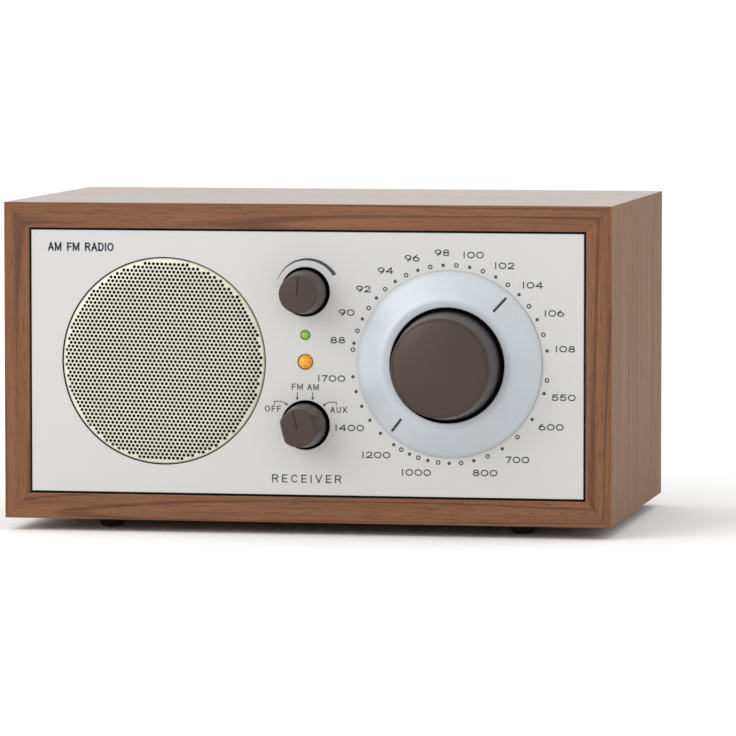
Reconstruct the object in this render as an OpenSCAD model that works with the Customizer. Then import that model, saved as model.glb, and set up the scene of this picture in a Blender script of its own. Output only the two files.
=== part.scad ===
// Tabletop radio with a wooden cabinet, one loudspeaker and a geared tuning dial.
// Origin: under the middle of the whole radio, on the plane that its feet stand on.
// +X is to the right of someone who faces the dial, +Y runs towards the back, +Z is up.
// Depths are counted backwards from the front edges of the cabinet boards.

/* [Cabinet] */
// Width of the wooden cabinet
cabinet_w = 212.7; // [205:0.1:222]
// Height of the wooden cabinet without its feet
cabinet_h = 110; // [106:0.1:116]
// Depth of the wooden cabinet
cabinet_d = 133.4; // [128:0.1:145]
// Thickness of the boards
board_t = 8.8; // [8:0.1:9.6]
// Height of the rubber feet
foot_h = 4.3; // [3:0.1:6]
// Radius of a foot where it is glued on
foot_r = 5; // [4:0.5:8]
// Distance of the feet from the middle
foot_x = 73; // [60:1:85]
// Distance of the feet from the front and from the back
foot_inset = 21; // [15:1:26]

/* [Front panel] */
// How far the panel sits behind the front edges of the boards
panel_recess = 0.5; // [0.3:0.1:1]
// Thickness of the panel
panel_t = 2.4; // [2:0.1:2.6]
// Shadow gap around the panel
panel_gap = 0.8; // [0.5:0.1:1.5]
// Thickness of the baffle behind the panel
baffle_t = 7; // [6:0.5:7]

/* [Loudspeaker] */
// Left of the middle to the centre of the loudspeaker
speaker_x = -49.9; // [-52:0.1:-49]
// Cabinet floor to the centre of the loudspeaker
speaker_z = 55.3; // [54:0.1:56]
// Outer radius of the grille
grille_r = 35.65; // [34.6:0.05:36]
// Radius of the flat middle of the grille
grille_flat_r = 29; // [26:0.5:30]
// How far the middle of the grille stands in front of the boards
grille_out = 1.2; // [0.8:0.1:2]
// Thickness of the grille sheet
grille_t = 0.8; // [0.6:0.1:1]

/* [Tuning dial] */
// Right of the middle to the centre of the dial
dial_x = 50.42; // [49:0.1:52]
// Cabinet floor to the centre of the dial
dial_z = 55.37; // [54:0.1:56]
// Outer radius of the dial ring
ring_r = 32.05; // [31.5:0.05:32.5]
// Radius of the hole in the dial ring
ring_hole_r = 19.9; // [19.4:0.1:20.2]
// Height of the ring's ridge in front of the boards
ring_ridge = 5.8; // [5.4:0.1:6.2]
// Direction of the upper pointer, counted anticlockwise from the right
pointer_angle = 49.4; // [10:0.1:170]
// Radius of the tuning knob at its base
tuning_base_r = 18.85; // [18:0.05:18.9]
// Radius of the tuning knob at its face
tuning_face_r = 17; // [16:0.1:17.5]
// How far the tuning knob stands in front of the boards
tuning_out = 22; // [18:0.5:24]

/* [Small controls] */
// Cabinet floor to the centre of the volume knob
volume_z = 79.77; // [79:0.1:81]
// Cabinet floor to the centre of the function knob
function_z = 33.77; // [33:0.1:35]
// Radius of a small knob at its base
small_base_r = 8; // [7.5:0.1:8.1]
// Radius of a small knob at its face
small_face_r = 6.53; // [6:0.01:7]
// How far a small knob stands in front of the boards
small_out = 14; // [12:0.5:16]
// Direction of the volume knob's mark, counted anticlockwise from the right
volume_angle = 85.4; // [0:0.1:180]
// Direction of the function knob's mark, counted anticlockwise from the right
function_angle = 104; // [75:1:105]
// Cabinet floor to the centre of the power lamp
power_led_z = 64.86; // [64:0.1:66]
// Cabinet floor to the centre of the tuning lamp
tuning_led_z = 55.6; // [54:0.1:57]

/* [Rear panel] */
// How far the rear panel sits inside the back edges of the boards
rear_recess = 8.5; // [8.5:0.1:10]
// Thickness of the rear panel
rear_t = 3; // [2:0.5:3]
// Radius of the bore in the audio sockets
jack_bore_r = 1.8; // [1.78:0.01:1.85]

/* [Hidden] */
$fn = 72;

// Places along the depth, all counted backwards from the front edges of the boards
front_y = -(cabinet_d + tuning_out) / 2 + tuning_out;
panel_front = panel_recess;
panel_back = panel_front + panel_t;
baffle_back = panel_back + baffle_t;
rear_outer = cabinet_d - rear_recess;
rear_inner = rear_outer - rear_t;

// The opening inside the boards
inner_x = cabinet_w / 2 - board_t;
inner_low = board_t;
inner_high = cabinet_h - board_t;

// Clearances
fit_gap = 0.15;
running_gap = 0.05;
loose_gap = 0.3;

// Fasteners
screw_r = 1.5;
screw_hole_r = 1.55;
screw_head_r = 2.8;
block_side = 14;
block_screw_inset = 4.5;
block_screw_x = inner_x - block_screw_inset;
block_screw_z = [inner_low + block_screw_inset, inner_high - block_screw_inset];

// Colours
walnut = "#8c6047";
panel_white = "#dcdcd8";
ring_silver = "#d0d6de";
knob_taupe = "#5a4c46";
grille_cream = "#dedecd";
dark_plastic = "#2a2a2c";
steel = "#a9adb2";
brass = "#c4a45a";
board_green = "#2f6b4a";

// Stands a flat outline up, as seen from the front, and fills it from one depth to another.
module slab(from_depth, to_depth)
    translate([0, front_y + to_depth, foot_h])
        rotate([90, 0, 0])
            linear_extrude(to_depth - from_depth)
                children();

// Puts an axis along the depth: the children's own z is then the depth.
module along_depth(x, z)
    translate([x, front_y, foot_h + z])
        rotate([-90, 0, 0])
            children();

// Turns children by an angle as seen from the front, anticlockwise from the right.
module at_angle(angle)
    rotate([0, 0, -angle])
        children();

// A straight round rod or hole along the depth.
module rod(radius, from_depth, to_depth)
    translate([0, 0, from_depth])
        cylinder(r = radius, h = to_depth - from_depth);

// A straight tube along the depth.
module tube(outer, inner, from_depth, to_depth)
    difference() {
        rod(outer, from_depth, to_depth);
        rod(inner, from_depth - 1, to_depth + 1);
    }

// A box given by its left and right, front and back, and lower and upper sides.
module block(x, depth, z)
    translate([x[0], front_y + depth[0], foot_h + z[0]])
        cube([x[1] - x[0], depth[1] - depth[0], z[1] - z[0]]);

// A centred box with its own z along the depth.
module deep_box(w, h, from_depth, to_depth)
    translate([-w / 2, -h / 2, from_depth])
        cube([w, h, to_depth - from_depth]);

// A screw driven forwards, with its head at the given depth.
module screw_forward(head_depth, length, head_h = 1.4) {
    union() {
        rod(screw_head_r, head_depth, head_depth + head_h);
        rod(screw_r, head_depth - length, head_depth + 0.1);
    }
}

// The points of an arc, with angles counted from the first axis.
function arc(centre, radius, from_angle, to_angle, steps) = [
    for (i = [0:steps])
        let (a = from_angle + (to_angle - from_angle) * i / steps)
            [centre[0] + radius * cos(a), centre[1] + radius * sin(a)]
];

// ---------------------------------------------------------------- cabinet

module lying_board(low)
    color(walnut)
        slab(0, cabinet_d)
            polygon([
                [-cabinet_w / 2, low ? 0 : cabinet_h],
                [cabinet_w / 2, low ? 0 : cabinet_h],
                [inner_x, low ? inner_low : inner_high],
                [-inner_x, low ? inner_low : inner_high]
            ]);

module standing_board(side)
    color(walnut)
        slab(0, cabinet_d)
            polygon([
                [side * cabinet_w / 2, 0],
                [side * cabinet_w / 2, cabinet_h],
                [side * inner_x, inner_high],
                [side * inner_x, inner_low]
            ]);

port_x = -50;
port_depth = 94;
port_bore_r = 15;
port_wall = 1.8;
port_height = 46;
port_flange_r = 20;

module standing_hole(x, depth, radius, from_z, to_z)
    translate([x, front_y + depth, foot_h + from_z])
        cylinder(r = radius, h = to_z - from_z);

module cabinet_top() lying_board(false);

module cabinet_bottom()
    color(walnut)
        difference() {
            lying_board(true);
            standing_hole(port_x, port_depth, port_bore_r + port_wall + fit_gap, -1, board_t + 1);
        }

module cabinet_left() standing_board(-1);
module cabinet_right() standing_board(1);

// One of the glue blocks, a triangle in the corner, with a screw hole.
module corner_block(side, high, from_depth, to_depth) {
    z_corner = high ? inner_high : inner_low;
    z_in = high ? -block_side : block_side;
    slab(from_depth, to_depth)
        difference() {
            polygon([
                [side * inner_x, z_corner],
                [side * (inner_x - block_side), z_corner],
                [side * inner_x, z_corner + z_in]
            ]);
            translate([side * block_screw_x, block_screw_z[high ? 1 : 0]])
                circle(r = screw_hole_r);
        }
}

block_length = 18;

module corner_blocks()
    color("#c9ae86")
        for (side = [-1, 1], high = [false, true]) {
            corner_block(side, high, baffle_back, baffle_back + block_length);
            corner_block(side, high, rear_inner - block_length, rear_inner);
        }

foot_flat_r = 2.5;

module foot()
    rotate_extrude()
        polygon(concat(
            [[0, 0]],
            [for (a = [0:10:90])
                [foot_flat_r + (foot_r - foot_flat_r) * sin(a), foot_h * (1 - cos(a))]],
            [[0, foot_h]]
        ));

module feet()
    color("#3a3836")
        for (x = [-foot_x, foot_x], depth = [foot_inset, cabinet_d - foot_inset])
            translate([x, front_y + depth, 0])
                foot();

// ---------------------------------------------------------------- front panel and baffle

small_hole_r = 8.55;
power_led_r = 1.5;
tuning_led_r = 2.5;
led_gap = 0.2;
hub_hole_r = 9;

module hole_at(x, z, radius)
    translate([x, z])
        circle(r = radius);

module front_panel()
    color(panel_white)
        slab(panel_front, panel_back)
            difference() {
                translate([-inner_x + panel_gap, inner_low + panel_gap])
                    square([2 * (inner_x - panel_gap), inner_high - inner_low - 2 * panel_gap]);
                hole_at(speaker_x, speaker_z, grille_r + 0.35);
                hole_at(dial_x, dial_z, hub_hole_r);
                hole_at(0, volume_z, small_hole_r);
                hole_at(0, function_z, small_hole_r);
                hole_at(0, power_led_z, power_led_r + led_gap);
                hole_at(0, tuning_led_z, tuning_led_r + led_gap);
            }

speaker_hole_r = 33.5;
knob_recess_r = 9.2;
led_pocket_r = 3.2;
speaker_screw_orbit = 41;
countersink = 1.8;

bracket_x = [-9.6, 13];
bracket_z = [23, 91];
bracket_screws = [for (x = [-6, 9.5], z = [47, 68]) [x, z]];
drive_plate = 36;
drive_screws = [for (x = [-1, 1], z = [-1, 1]) [dial_x + x * 14.5, dial_z + z * 14.5]];

module baffle()
    color(dark_plastic)
        difference() {
            slab(panel_back, baffle_back)
                difference() {
                    translate([-inner_x + fit_gap, inner_low + fit_gap])
                        square([2 * (inner_x - fit_gap), inner_high - inner_low - 2 * fit_gap]);
                    hole_at(speaker_x, speaker_z, speaker_hole_r);
                    hole_at(dial_x, dial_z, hub_hole_r);
                    for (z = [volume_z, function_z])
                        hole_at(0, z, knob_recess_r);
                    for (z = [power_led_z, tuning_led_z])
                        hole_at(0, z, led_pocket_r);
                    for (x = [-block_screw_x, block_screw_x], z = block_screw_z)
                        hole_at(x, z, screw_hole_r);
                    for (place = concat(bracket_screws, drive_screws))
                        hole_at(place[0], place[1], screw_hole_r);
                }
            for (x = [-block_screw_x, block_screw_x], z = block_screw_z)
                along_depth(x, z)
                    rod(screw_head_r + 0.2, panel_back - 1, panel_back + countersink);
            along_depth(speaker_x, speaker_z)
                for (i = [0:3])
                    at_angle(45 + 90 * i)
                        translate([speaker_screw_orbit, 0, 0])
                            rod(screw_hole_r, panel_back - 1, baffle_back + 1);
        }

baffle_screw_length = 16;

module baffle_screws()
    color(steel)
        for (x = [-block_screw_x, block_screw_x], z = block_screw_z)
            along_depth(x, z)
                union() {
                    rod(screw_head_r, panel_back + 0.3, panel_back + countersink);
                    rod(screw_r, panel_back + 0.4, panel_back + baffle_screw_length);
                }

// ---------------------------------------------------------------- rear panel

ac_x = 76;
ac_z = 32;
dc_x = 52;
dc_z = 32;
jack_xs = [-6, 12, 30];
jack_z = 32;
socket_x = -40;
socket_z = 76;
switch_x = -14;
switch_z = 76;
terminal_x = -70;
terminal_z = 76;
terminal_pitch = 12;
ac_body = [20.6, 11];
switch_window = [9.4, 4.6];
terminal_window = [24, 10.2];
jack_nose_r = 3.2;
dc_nose_r = 4.2;
socket_neck_r = 4.75;

module rear_panel()
    color(dark_plastic)
        slab(rear_inner, rear_outer)
            difference() {
                translate([-inner_x + loose_gap, inner_low + loose_gap])
                    square([2 * (inner_x - loose_gap), inner_high - inner_low - 2 * loose_gap]);
                for (x = [-block_screw_x, block_screw_x], z = block_screw_z)
                    hole_at(x, z, screw_hole_r);
                for (x = jack_xs)
                    hole_at(x, jack_z, jack_nose_r + fit_gap);
                hole_at(dc_x, dc_z, dc_nose_r + fit_gap);
                hole_at(socket_x, socket_z, socket_neck_r + fit_gap);
                translate([ac_x, ac_z])
                    square(ac_body + [0.4, 0.4], center = true);
                translate([switch_x, switch_z])
                    square(switch_window, center = true);
                translate([terminal_x, terminal_z])
                    square(terminal_window, center = true);
            }

rear_screw_length = 14;

module rear_screws()
    color(steel)
        for (x = [-block_screw_x, block_screw_x], z = block_screw_z)
            along_depth(x, z)
                screw_forward(rear_outer, rear_screw_length);

module bass_port()
    color(dark_plastic)
        translate([port_x, front_y + port_depth, foot_h])
            rotate_extrude()
                polygon([
                    [port_bore_r, 0],
                    [port_bore_r + port_wall, 0],
                    [port_bore_r + port_wall, board_t],
                    [port_flange_r, board_t],
                    [port_flange_r, board_t + 2],
                    [port_bore_r + port_wall, board_t + 2],
                    [port_bore_r + port_wall, port_height],
                    [port_bore_r, port_height]
                ]);

// ---------------------------------------------------------------- loudspeaker

grille_bend = 30;
grille_bend_r = 12.4;

module grille()
    color(grille_cream)
        along_depth(speaker_x, speaker_z)
            rotate_extrude()
                polygon(concat(
                    [[0, -grille_out]],
                    arc([grille_flat_r, grille_bend_r - grille_out], grille_bend_r,
                        -90, grille_bend - 90, 6),
                    [[grille_r, 1.1], [grille_r, panel_back]],
                    [[grille_r - grille_t, panel_back]],
                    arc([grille_flat_r, grille_bend_r - grille_out], grille_bend_r - grille_t,
                        grille_bend - 90, -90, 6),
                    [[0, grille_t - grille_out]]
                ));

gasket_t = 1;
flange_front = baffle_back + gasket_t;
flange_t = 1.2;
flange_back = flange_front + flange_t;
frame_r = 39.5;
frame_mouth_r = 32.6;
frame_floor_depth = 30.8;
floor_back = frame_floor_depth + flange_t;
plate_t = 4;
magnet_t = 11;
coil_r = 8.2;
pole_r = 7.7;
gap_r = 8.9;

module speaker_gasket()
    color("#1f1f1f")
        along_depth(speaker_x, speaker_z)
            tube(39, speaker_hole_r, baffle_back, flange_front);

module speaker_frame()
    color(steel)
        along_depth(speaker_x, speaker_z)
            difference() {
                union() {
                    rotate_extrude()
                        polygon([
                            [frame_mouth_r, flange_front],
                            [frame_r, flange_front],
                            [frame_r, flange_back],
                            [34.2, flange_back],
                            [23, frame_floor_depth],
                            [23, floor_back],
                            [9.5, floor_back],
                            [9.5, frame_floor_depth],
                            [21.9, frame_floor_depth],
                            [24.6, 26.2],
                            [22.5, 26.2],
                            [22.5, 25],
                            [25.3, 25],
                            [frame_mouth_r, flange_back + 0.8]
                        ]);
                    for (i = [0:3])
                        at_angle(45 + 90 * i)
                            translate([speaker_screw_orbit, 0, 0])
                                rod(3.6, flange_front, flange_back);
                }
                for (i = [0:3]) {
                    at_angle(90 * i)
                        translate([14, -9, 15])
                            cube([30, 18, 8]);
                    at_angle(45 + 90 * i)
                        translate([speaker_screw_orbit, 0, 0])
                            rod(screw_hole_r, flange_front - 1, flange_back + 1);
                }
            }

roll_r = 1.95;
roll_t = 0.6;
roll_centre = [29.2, flange_front + 0.3];

module speaker_surround()
    color("#26262a")
        along_depth(speaker_x, speaker_z)
            rotate_extrude()
                polygon(concat(
                    [[26.6, flange_front + 0.7], [27.3, flange_front + 0.7]],
                    arc(roll_centre, roll_r, -180, -27.5, 8),
                    [[33.3, flange_front - 0.6], [33.3, flange_front], [30.52, flange_front]],
                    arc(roll_centre, roll_r - roll_t, -13, -180, 8),
                    [[27.6, flange_front + 1.25], [26.6, flange_front + 1.25]]
                ));

cone_neck = 20.6;
cone_rim = flange_front + 1.3;

module speaker_cone()
    color("#3b3b3d")
        along_depth(speaker_x, speaker_z)
            rotate_extrude()
                polygon([
                    [coil_r, cone_neck + 1],
                    [coil_r, cone_neck],
                    [26.6, cone_rim],
                    [27.4, cone_rim],
                    [27.4, cone_rim + 0.6],
                    [8.9, cone_neck + 1]
                ]);

cap_r = 9.2;
cap_height = 3.4;
cap_sphere_r = (cap_r * cap_r + cap_height * cap_height) / (2 * cap_height);
cap_angle = asin(cap_r / cap_sphere_r);
cap_back = cone_neck - 0.5;
cap_t = 0.5;

module dust_cap()
    color("#2c2c2e")
        along_depth(speaker_x, speaker_z)
            rotate_extrude()
                polygon(concat(
                    arc([0, cap_back - cap_height + cap_sphere_r], cap_sphere_r,
                        -90, cap_angle - 90, 8),
                    arc([0, cap_back - cap_height + cap_sphere_r], cap_sphere_r - cap_t,
                        cap_angle - 92, -90, 8)
                ));

module voice_coil()
    color("#b06f3c")
        along_depth(speaker_x, speaker_z)
            rotate_extrude()
                polygon([
                    [coil_r - 0.2, cone_neck],
                    [coil_r, cone_neck],
                    [coil_r, floor_back - 1],
                    [coil_r + 0.25, floor_back - 1],
                    [coil_r + 0.25, floor_back + 5],
                    [coil_r - 0.2, floor_back + 5]
                ]);

spider_rings = 5;

module spider()
    color("#c99a4a")
        along_depth(speaker_x, speaker_z)
            rotate_extrude()
                polygon(concat(
                    [[coil_r + 0.06, 23.9]],
                    [for (i = [0:spider_rings * 2])
                        [9.5 + i * 1.35, 23.4 + (i % 2) * 0.9]],
                    [[24.9, 24.2], [24.9, 24.9], [23, 24.9]],
                    [for (i = [spider_rings * 2:-1:0])
                        [9.5 + i * 1.35, 24 + (i % 2) * 0.9]],
                    [[coil_r + 0.06, 24.5]]
                ));

module speaker_magnet()
    color("#4a4a4e")
        along_depth(speaker_x, speaker_z)
            tube(29, 14, floor_back + plate_t, floor_back + plate_t + magnet_t);

module pole_pieces()
    color(steel)
        along_depth(speaker_x, speaker_z) {
            tube(24, gap_r, floor_back, floor_back + plate_t);
            union() {
                rod(24, floor_back + plate_t + magnet_t, floor_back + 2 * plate_t + magnet_t);
                rod(pole_r, floor_back - 0.5, floor_back + plate_t + magnet_t + 1);
            }
        }

module speaker_screws()
    color(steel)
        along_depth(speaker_x, speaker_z)
            for (i = [0:3])
                at_angle(45 + 90 * i)
                    translate([speaker_screw_orbit, 0, 0])
                        screw_forward(flange_back, 8);

// The twin lead runs from the frame's terminal to the main board.
lead_r = 1.2;
lead_sides = 8;
lead_route = [
    [-27, 29, 44], [-25, 32, 40], [-22, 36, 34], [-19, 40, 28],
    [-15, 44, 24], [-11, 47, 21.5], [-8, 50, 20], [-8, 54, 18.6]
];

function unit(v) = v / norm(v);
function lead_ring(i, count) =
    let (
        last = min(i + 1, count - 1),
        first = max(i - 1, 0),
        forward = unit(lead_route[last] - lead_route[first]),
        side = unit(cross(forward, [0, 0, 1])),
        up = cross(side, forward)
    )
    [for (s = [0:lead_sides - 1])
        let (a = 360 * s / lead_sides)
            lead_route[i] + lead_r * (cos(a) * side + sin(a) * up)];

module speaker_lead() {
    count = len(lead_route);
    rings = [for (i = [0:count - 1]) each lead_ring(i, count)];
    skin = [for (i = [0:count - 2], s = [0:lead_sides - 1])
        let (t = (s + 1) % lead_sides)
            [i * lead_sides + s, i * lead_sides + t,
             (i + 1) * lead_sides + t, (i + 1) * lead_sides + s]];
    first_end = [for (s = [lead_sides - 1:-1:0]) s];
    last_end = [for (s = [0:lead_sides - 1]) (count - 1) * lead_sides + s];
    color("#a33b30")
        translate([0, front_y, foot_h])
            polyhedron(points = rings, faces = concat(skin, [first_end, last_end]));
}

// ---------------------------------------------------------------- tuning drive

shaft_r = 3;
neck_r = 2.48;
sleeve_r = 4.5;
sleeve_bore_r = shaft_r + running_gap;
ball_r = 3.73;
ball_orbit = 6.25;
race_r = 10.02;
ball_depth = 17.6;
cage_front = 12.5;
cage_back = 22.2;
cage_r = 9.6;
housing_r = 14;
race_front = 12.3;
race_back = 22.4;
housing_back = 24.3;
knob_bore_depth = -18.5;

module tuning_knob()
    color(knob_taupe)
        along_depth(dial_x, dial_z)
            rotate_extrude()
                polygon(concat(
                    [[0, -tuning_out]],
                    arc([tuning_face_r - 0.6, 0.6 - tuning_out], 0.6, -90, -5, 4),
                    [
                        [tuning_base_r, -3],
                        [tuning_base_r - 2, -3],
                        [tuning_face_r - 2, 2.4 - tuning_out],
                        [6, 2.4 - tuning_out],
                        [6, -3.6],
                        [shaft_r + 0.02, -3.6],
                        [shaft_r + 0.02, knob_bore_depth],
                        [0, knob_bore_depth]
                    ]
                ));

module tuning_shaft()
    color(brass)
        along_depth(dial_x, dial_z)
            rotate_extrude()
                polygon([
                    [0, knob_bore_depth + 0.2],
                    [shaft_r, knob_bore_depth + 0.2],
                    [shaft_r, 13.2],
                    [neck_r, 13.7],
                    [neck_r, 20.8],
                    [0, 20.8]
                ]);

ring_back = 0.1;
hub_disc_t = 1.2;
slot_in_r = 24.46;
slot_out_r = 30.46;
slot_w = 0.9;
slot_slope = 0.6;
slot_in_depth = -5;

module pointer_slot(width)
    rotate([90, 0, 0])
        linear_extrude(width, center = true)
            children();

module dial_ring()
    color(ring_silver)
        along_depth(dial_x, dial_z)
            difference() {
                rotate_extrude($fn = 120)
                    polygon([
                        [ring_r, ring_back],
                        [ring_r, -0.45],
                        [slot_out_r, -1.4],
                        [slot_in_r, slot_in_depth],
                        [23.7, 0.38 - ring_ridge],
                        [23.1, 0.08 - ring_ridge],
                        [22.5, -ring_ridge],
                        [21.9, 0.12 - ring_ridge],
                        [ring_hole_r, -4.5],
                        [ring_hole_r, ring_back - hub_disc_t],
                        [21.3, ring_back - hub_disc_t],
                        [21.3, -4.2],
                        [23.2, -4.4],
                        [30.2, -0.2],
                        [30.2, ring_back]
                    ]);
                for (turn = [0, 180])
                    at_angle(pointer_angle + turn)
                        translate([(slot_in_r + slot_out_r) / 2, 0, -3])
                            cube([slot_out_r - slot_in_r, slot_w, 8], center = true);
            }

module dial_pointers()
    color(knob_taupe)
        along_depth(dial_x, dial_z)
            for (turn = [0, 180])
                at_angle(pointer_angle + turn)
                    pointer_slot(slot_w - 0.06)
                        polygon([
                            [slot_in_r + 0.05, slot_in_depth + 0.35],
                            [slot_out_r - 0.05, slot_in_depth + 0.35 + 6 * slot_slope],
                            [slot_out_r - 0.05, slot_in_depth + 1.1 + 6 * slot_slope],
                            [slot_in_r + 0.05, slot_in_depth + 1.1]
                        ]);

module dial_hub()
    color(dark_plastic)
        along_depth(dial_x, dial_z)
            difference() {
                union() {
                    rod(28.5, ring_back - hub_disc_t, ring_back);
                    rod(sleeve_r, -2.5, cage_front);
                }
                rod(sleeve_bore_r, -4, cage_front + 1);
            }

module ball_cage()
    color(brass)
        along_depth(dial_x, dial_z)
            difference() {
                union() {
                    rod(cage_r, cage_front, cage_back);
                    rod(sleeve_r, cage_back - 0.1, 26.5);
                }
                rod(sleeve_bore_r, cage_front - 1, 21.3);
                rod(shaft_r + 0.02, 22.5, 27);
                for (i = [0:3])
                    at_angle(90 * i)
                        translate([ball_orbit, 0, 0])
                            rod(ball_r + 0.1, ball_depth - ball_r - 0.05, ball_depth + ball_r + 0.05);
            }

module drive_balls()
    color(steel)
        along_depth(dial_x, dial_z)
            for (i = [0:3])
                at_angle(90 * i)
                    translate([ball_orbit, 0, ball_depth])
                        sphere(r = ball_r, $fn = 48);

module drive_housing()
    color(steel)
        difference() {
            union() {
                along_depth(dial_x, dial_z) {
                    rod(housing_r, baffle_back, housing_back);
                    rod(7, 4, baffle_back + 1);
                }
                along_depth(dial_x, dial_z)
                    deep_box(drive_plate, drive_plate, baffle_back, baffle_back + 1.5);
            }
            along_depth(dial_x, dial_z) {
                rod(sleeve_r + running_gap, 0, housing_back + 5);
                rod(race_r, race_front, race_back);
            }
            for (place = drive_screws)
                along_depth(place[0], place[1])
                    rod(screw_hole_r, baffle_back - 1, baffle_back + 3);
        }

// The variable capacitor: its vanes are half discs that turn in between fixed plates.
vane_count = 6;
vane_pitch = 2.6;
vane_t = 0.6;
vane_r = 12.5;
vane_first = 31;
gang_w = 30;
gang_front = housing_back;
gang_wall = 1.5;
gang_back = vane_first + vane_count * vane_pitch + 3;

module capacitor_frame()
    color(steel)
        along_depth(dial_x, dial_z)
            difference() {
                union() {
                    deep_box(gang_w, gang_w, gang_front, gang_front + gang_wall);
                    deep_box(gang_w, gang_w, gang_back - gang_wall, gang_back);
                    for (side = [-1, 1])
                        translate([side * (gang_w / 2 - 0.6), 0, 0])
                            deep_box(1.2, 16, gang_front, gang_back);
                    for (i = [0:vane_count])
                        translate([0, -gang_w / 4, 0])
                            deep_box(gang_w - 1, gang_w / 2 - 2,
                                vane_first - vane_pitch / 2 + i * vane_pitch,
                                vane_first - vane_pitch / 2 + i * vane_pitch + vane_t);
                }
                rod(sleeve_r + 0.1, gang_front - 1, gang_front + gang_wall + 1);
                rod(shaft_r + running_gap, gang_front + 3, gang_back + 1);
                rod(5, gang_front + 3, gang_back - gang_wall - 0.5);
            }

module capacitor_rotor()
    color(brass)
        along_depth(dial_x, dial_z)
            union() {
                rod(shaft_r, 22.7, gang_back + 2);
                for (i = [0:vane_count - 1])
                    difference() {
                        rod(vane_r, vane_first + i * vane_pitch, vane_first + i * vane_pitch + vane_t);
                        translate([-20, -40.2, 20])
                            cube([40, 40, 60]);
                    }
            }

// ---------------------------------------------------------------- small controls

knob_foot = 2.5;
knob_bore_end = -11.5;
groove_w = 0.9;
groove_depth = 0.6;
groove_r = 5.7;

// A tapered knob with a hollow back and a hub around its shaft.
module small_knob_body()
    rotate_extrude()
        polygon(concat(
            [[0, -small_out]],
            arc([small_face_r - 0.5, 0.5 - small_out], 0.5, -90, -6, 4),
            [
                [small_base_r, 0],
                [small_base_r, knob_foot],
                [small_base_r - 1.4, knob_foot],
                [small_face_r - 1.6, 2 - small_out],
                [4.3, 2 - small_out],
                [4.3, knob_foot],
                [shaft_r + 0.02, knob_foot],
                [shaft_r + 0.02, knob_bore_end],
                [0, knob_bore_end]
            ]
        ));

module index_groove(reach)
    translate([0, -groove_w / 2, -small_out - 1])
        cube([reach, groove_w, 1 + groove_depth]);

module volume_knob()
    color(knob_taupe)
        along_depth(0, volume_z)
            difference() {
                small_knob_body();
                at_angle(volume_angle)
                    index_groove(groove_r);
            }

// Two sloping flats turn the function knob into a pointer.
flat_distance = 5.4;
flat_slope = 14.3;

module function_knob()
    color(knob_taupe)
        along_depth(0, function_z)
            at_angle(function_angle)
                difference() {
                    small_knob_body();
                    index_groove(small_base_r);
                    for (side = [0, 1])
                        mirror([0, side, 0])
                            translate([0, flat_distance, -small_out])
                                rotate([-flat_slope, 0, 0])
                                    translate([-15, 0, -5])
                                        cube([30, 10, 16]);
                }

bushing_r = 3.5;
bushing_front = 6.1;
bracket_t = 1.2;
case_front = baffle_back + bracket_t;
case_back = 20.1;
shaft_end = 14;

module control_shaft(z)
    color(brass)
        along_depth(0, z)
            rod(shaft_r, knob_bore_end + 0.2, shaft_end);

module volume_shaft() control_shaft(volume_z);
module function_shaft() control_shaft(function_z);

module control_body(case_r)
    difference() {
        union() {
            rod(bushing_r, bushing_front, case_front + 1);
            rod(case_r, case_front, case_back);
        }
        rod(shaft_r + running_gap, bushing_front - 1, shaft_end + 0.5);
    }

module volume_pot()
    color(steel)
        along_depth(0, volume_z)
            control_body(8.5);

module function_switch()
    color("#6b4f2f")
        along_depth(0, function_z)
            control_body(9.5);

nut_t = 2;

module control_nuts()
    color(steel)
        for (z = [volume_z, function_z])
            along_depth(0, z)
                difference() {
                    translate([0, 0, baffle_back - nut_t])
                        cylinder(r = 5.8, h = nut_t, $fn = 6);
                    rod(bushing_r + 0.05, 0, baffle_back + 1);
                }

module control_bracket()
    color(steel)
        slab(baffle_back, case_front)
            difference() {
                translate([bracket_x[0], bracket_z[0]])
                    square([bracket_x[1] - bracket_x[0], bracket_z[1] - bracket_z[0]]);
                for (z = [volume_z, function_z])
                    hole_at(0, z, bushing_r + 0.05);
                for (z = [power_led_z, tuning_led_z])
                    hole_at(0, z, 2.6);
                for (place = bracket_screws)
                    hole_at(place[0], place[1], screw_hole_r);
            }

board_t_pcb = 1.6;

module control_board()
    color(board_green)
        slab(case_back, case_back + board_t_pcb)
            translate([-14, 22])
                square([30, 70]);

chassis_screw_length = 6;

module chassis_screws()
    color(steel) {
        for (place = bracket_screws)
            along_depth(place[0], place[1])
                screw_forward(case_front, chassis_screw_length);
        for (place = drive_screws)
            along_depth(place[0], place[1])
                screw_forward(baffle_back + 1.5, chassis_screw_length);
    }

led_foot_front = 3.2;
leg_w = 0.5;

// A lamp with a domed nose, a foot ring and two legs.
module lamp(radius, tip, flange)
    union() {
        rotate_extrude()
            polygon(concat(
                arc([0, tip + radius], radius, -90, 0, 8),
                [
                    [radius, led_foot_front],
                    [flange, led_foot_front],
                    [flange, led_foot_front + 1],
                    [0, led_foot_front + 1]
                ]
            ));
        for (side = [-1, 1])
            translate([side * 1.27 - leg_w / 2, -leg_w / 2, led_foot_front + 0.5])
                cube([leg_w, leg_w, case_back - led_foot_front - 0.5]);
    }

module power_led()
    color("#7fb24e")
        along_depth(0, power_led_z)
            lamp(power_led_r, -0.6, 1.9);

module tuning_led()
    color("#e9a23a")
        along_depth(0, tuning_led_z)
            lamp(tuning_led_r, -1.3, 2.9);

// ---------------------------------------------------------------- boards and supplies

main_z = 15;
main_x = [-12, 52];
main_depth = [40, 106];
main_top = main_z + board_t_pcb;
standoff_inset = 5;

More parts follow.
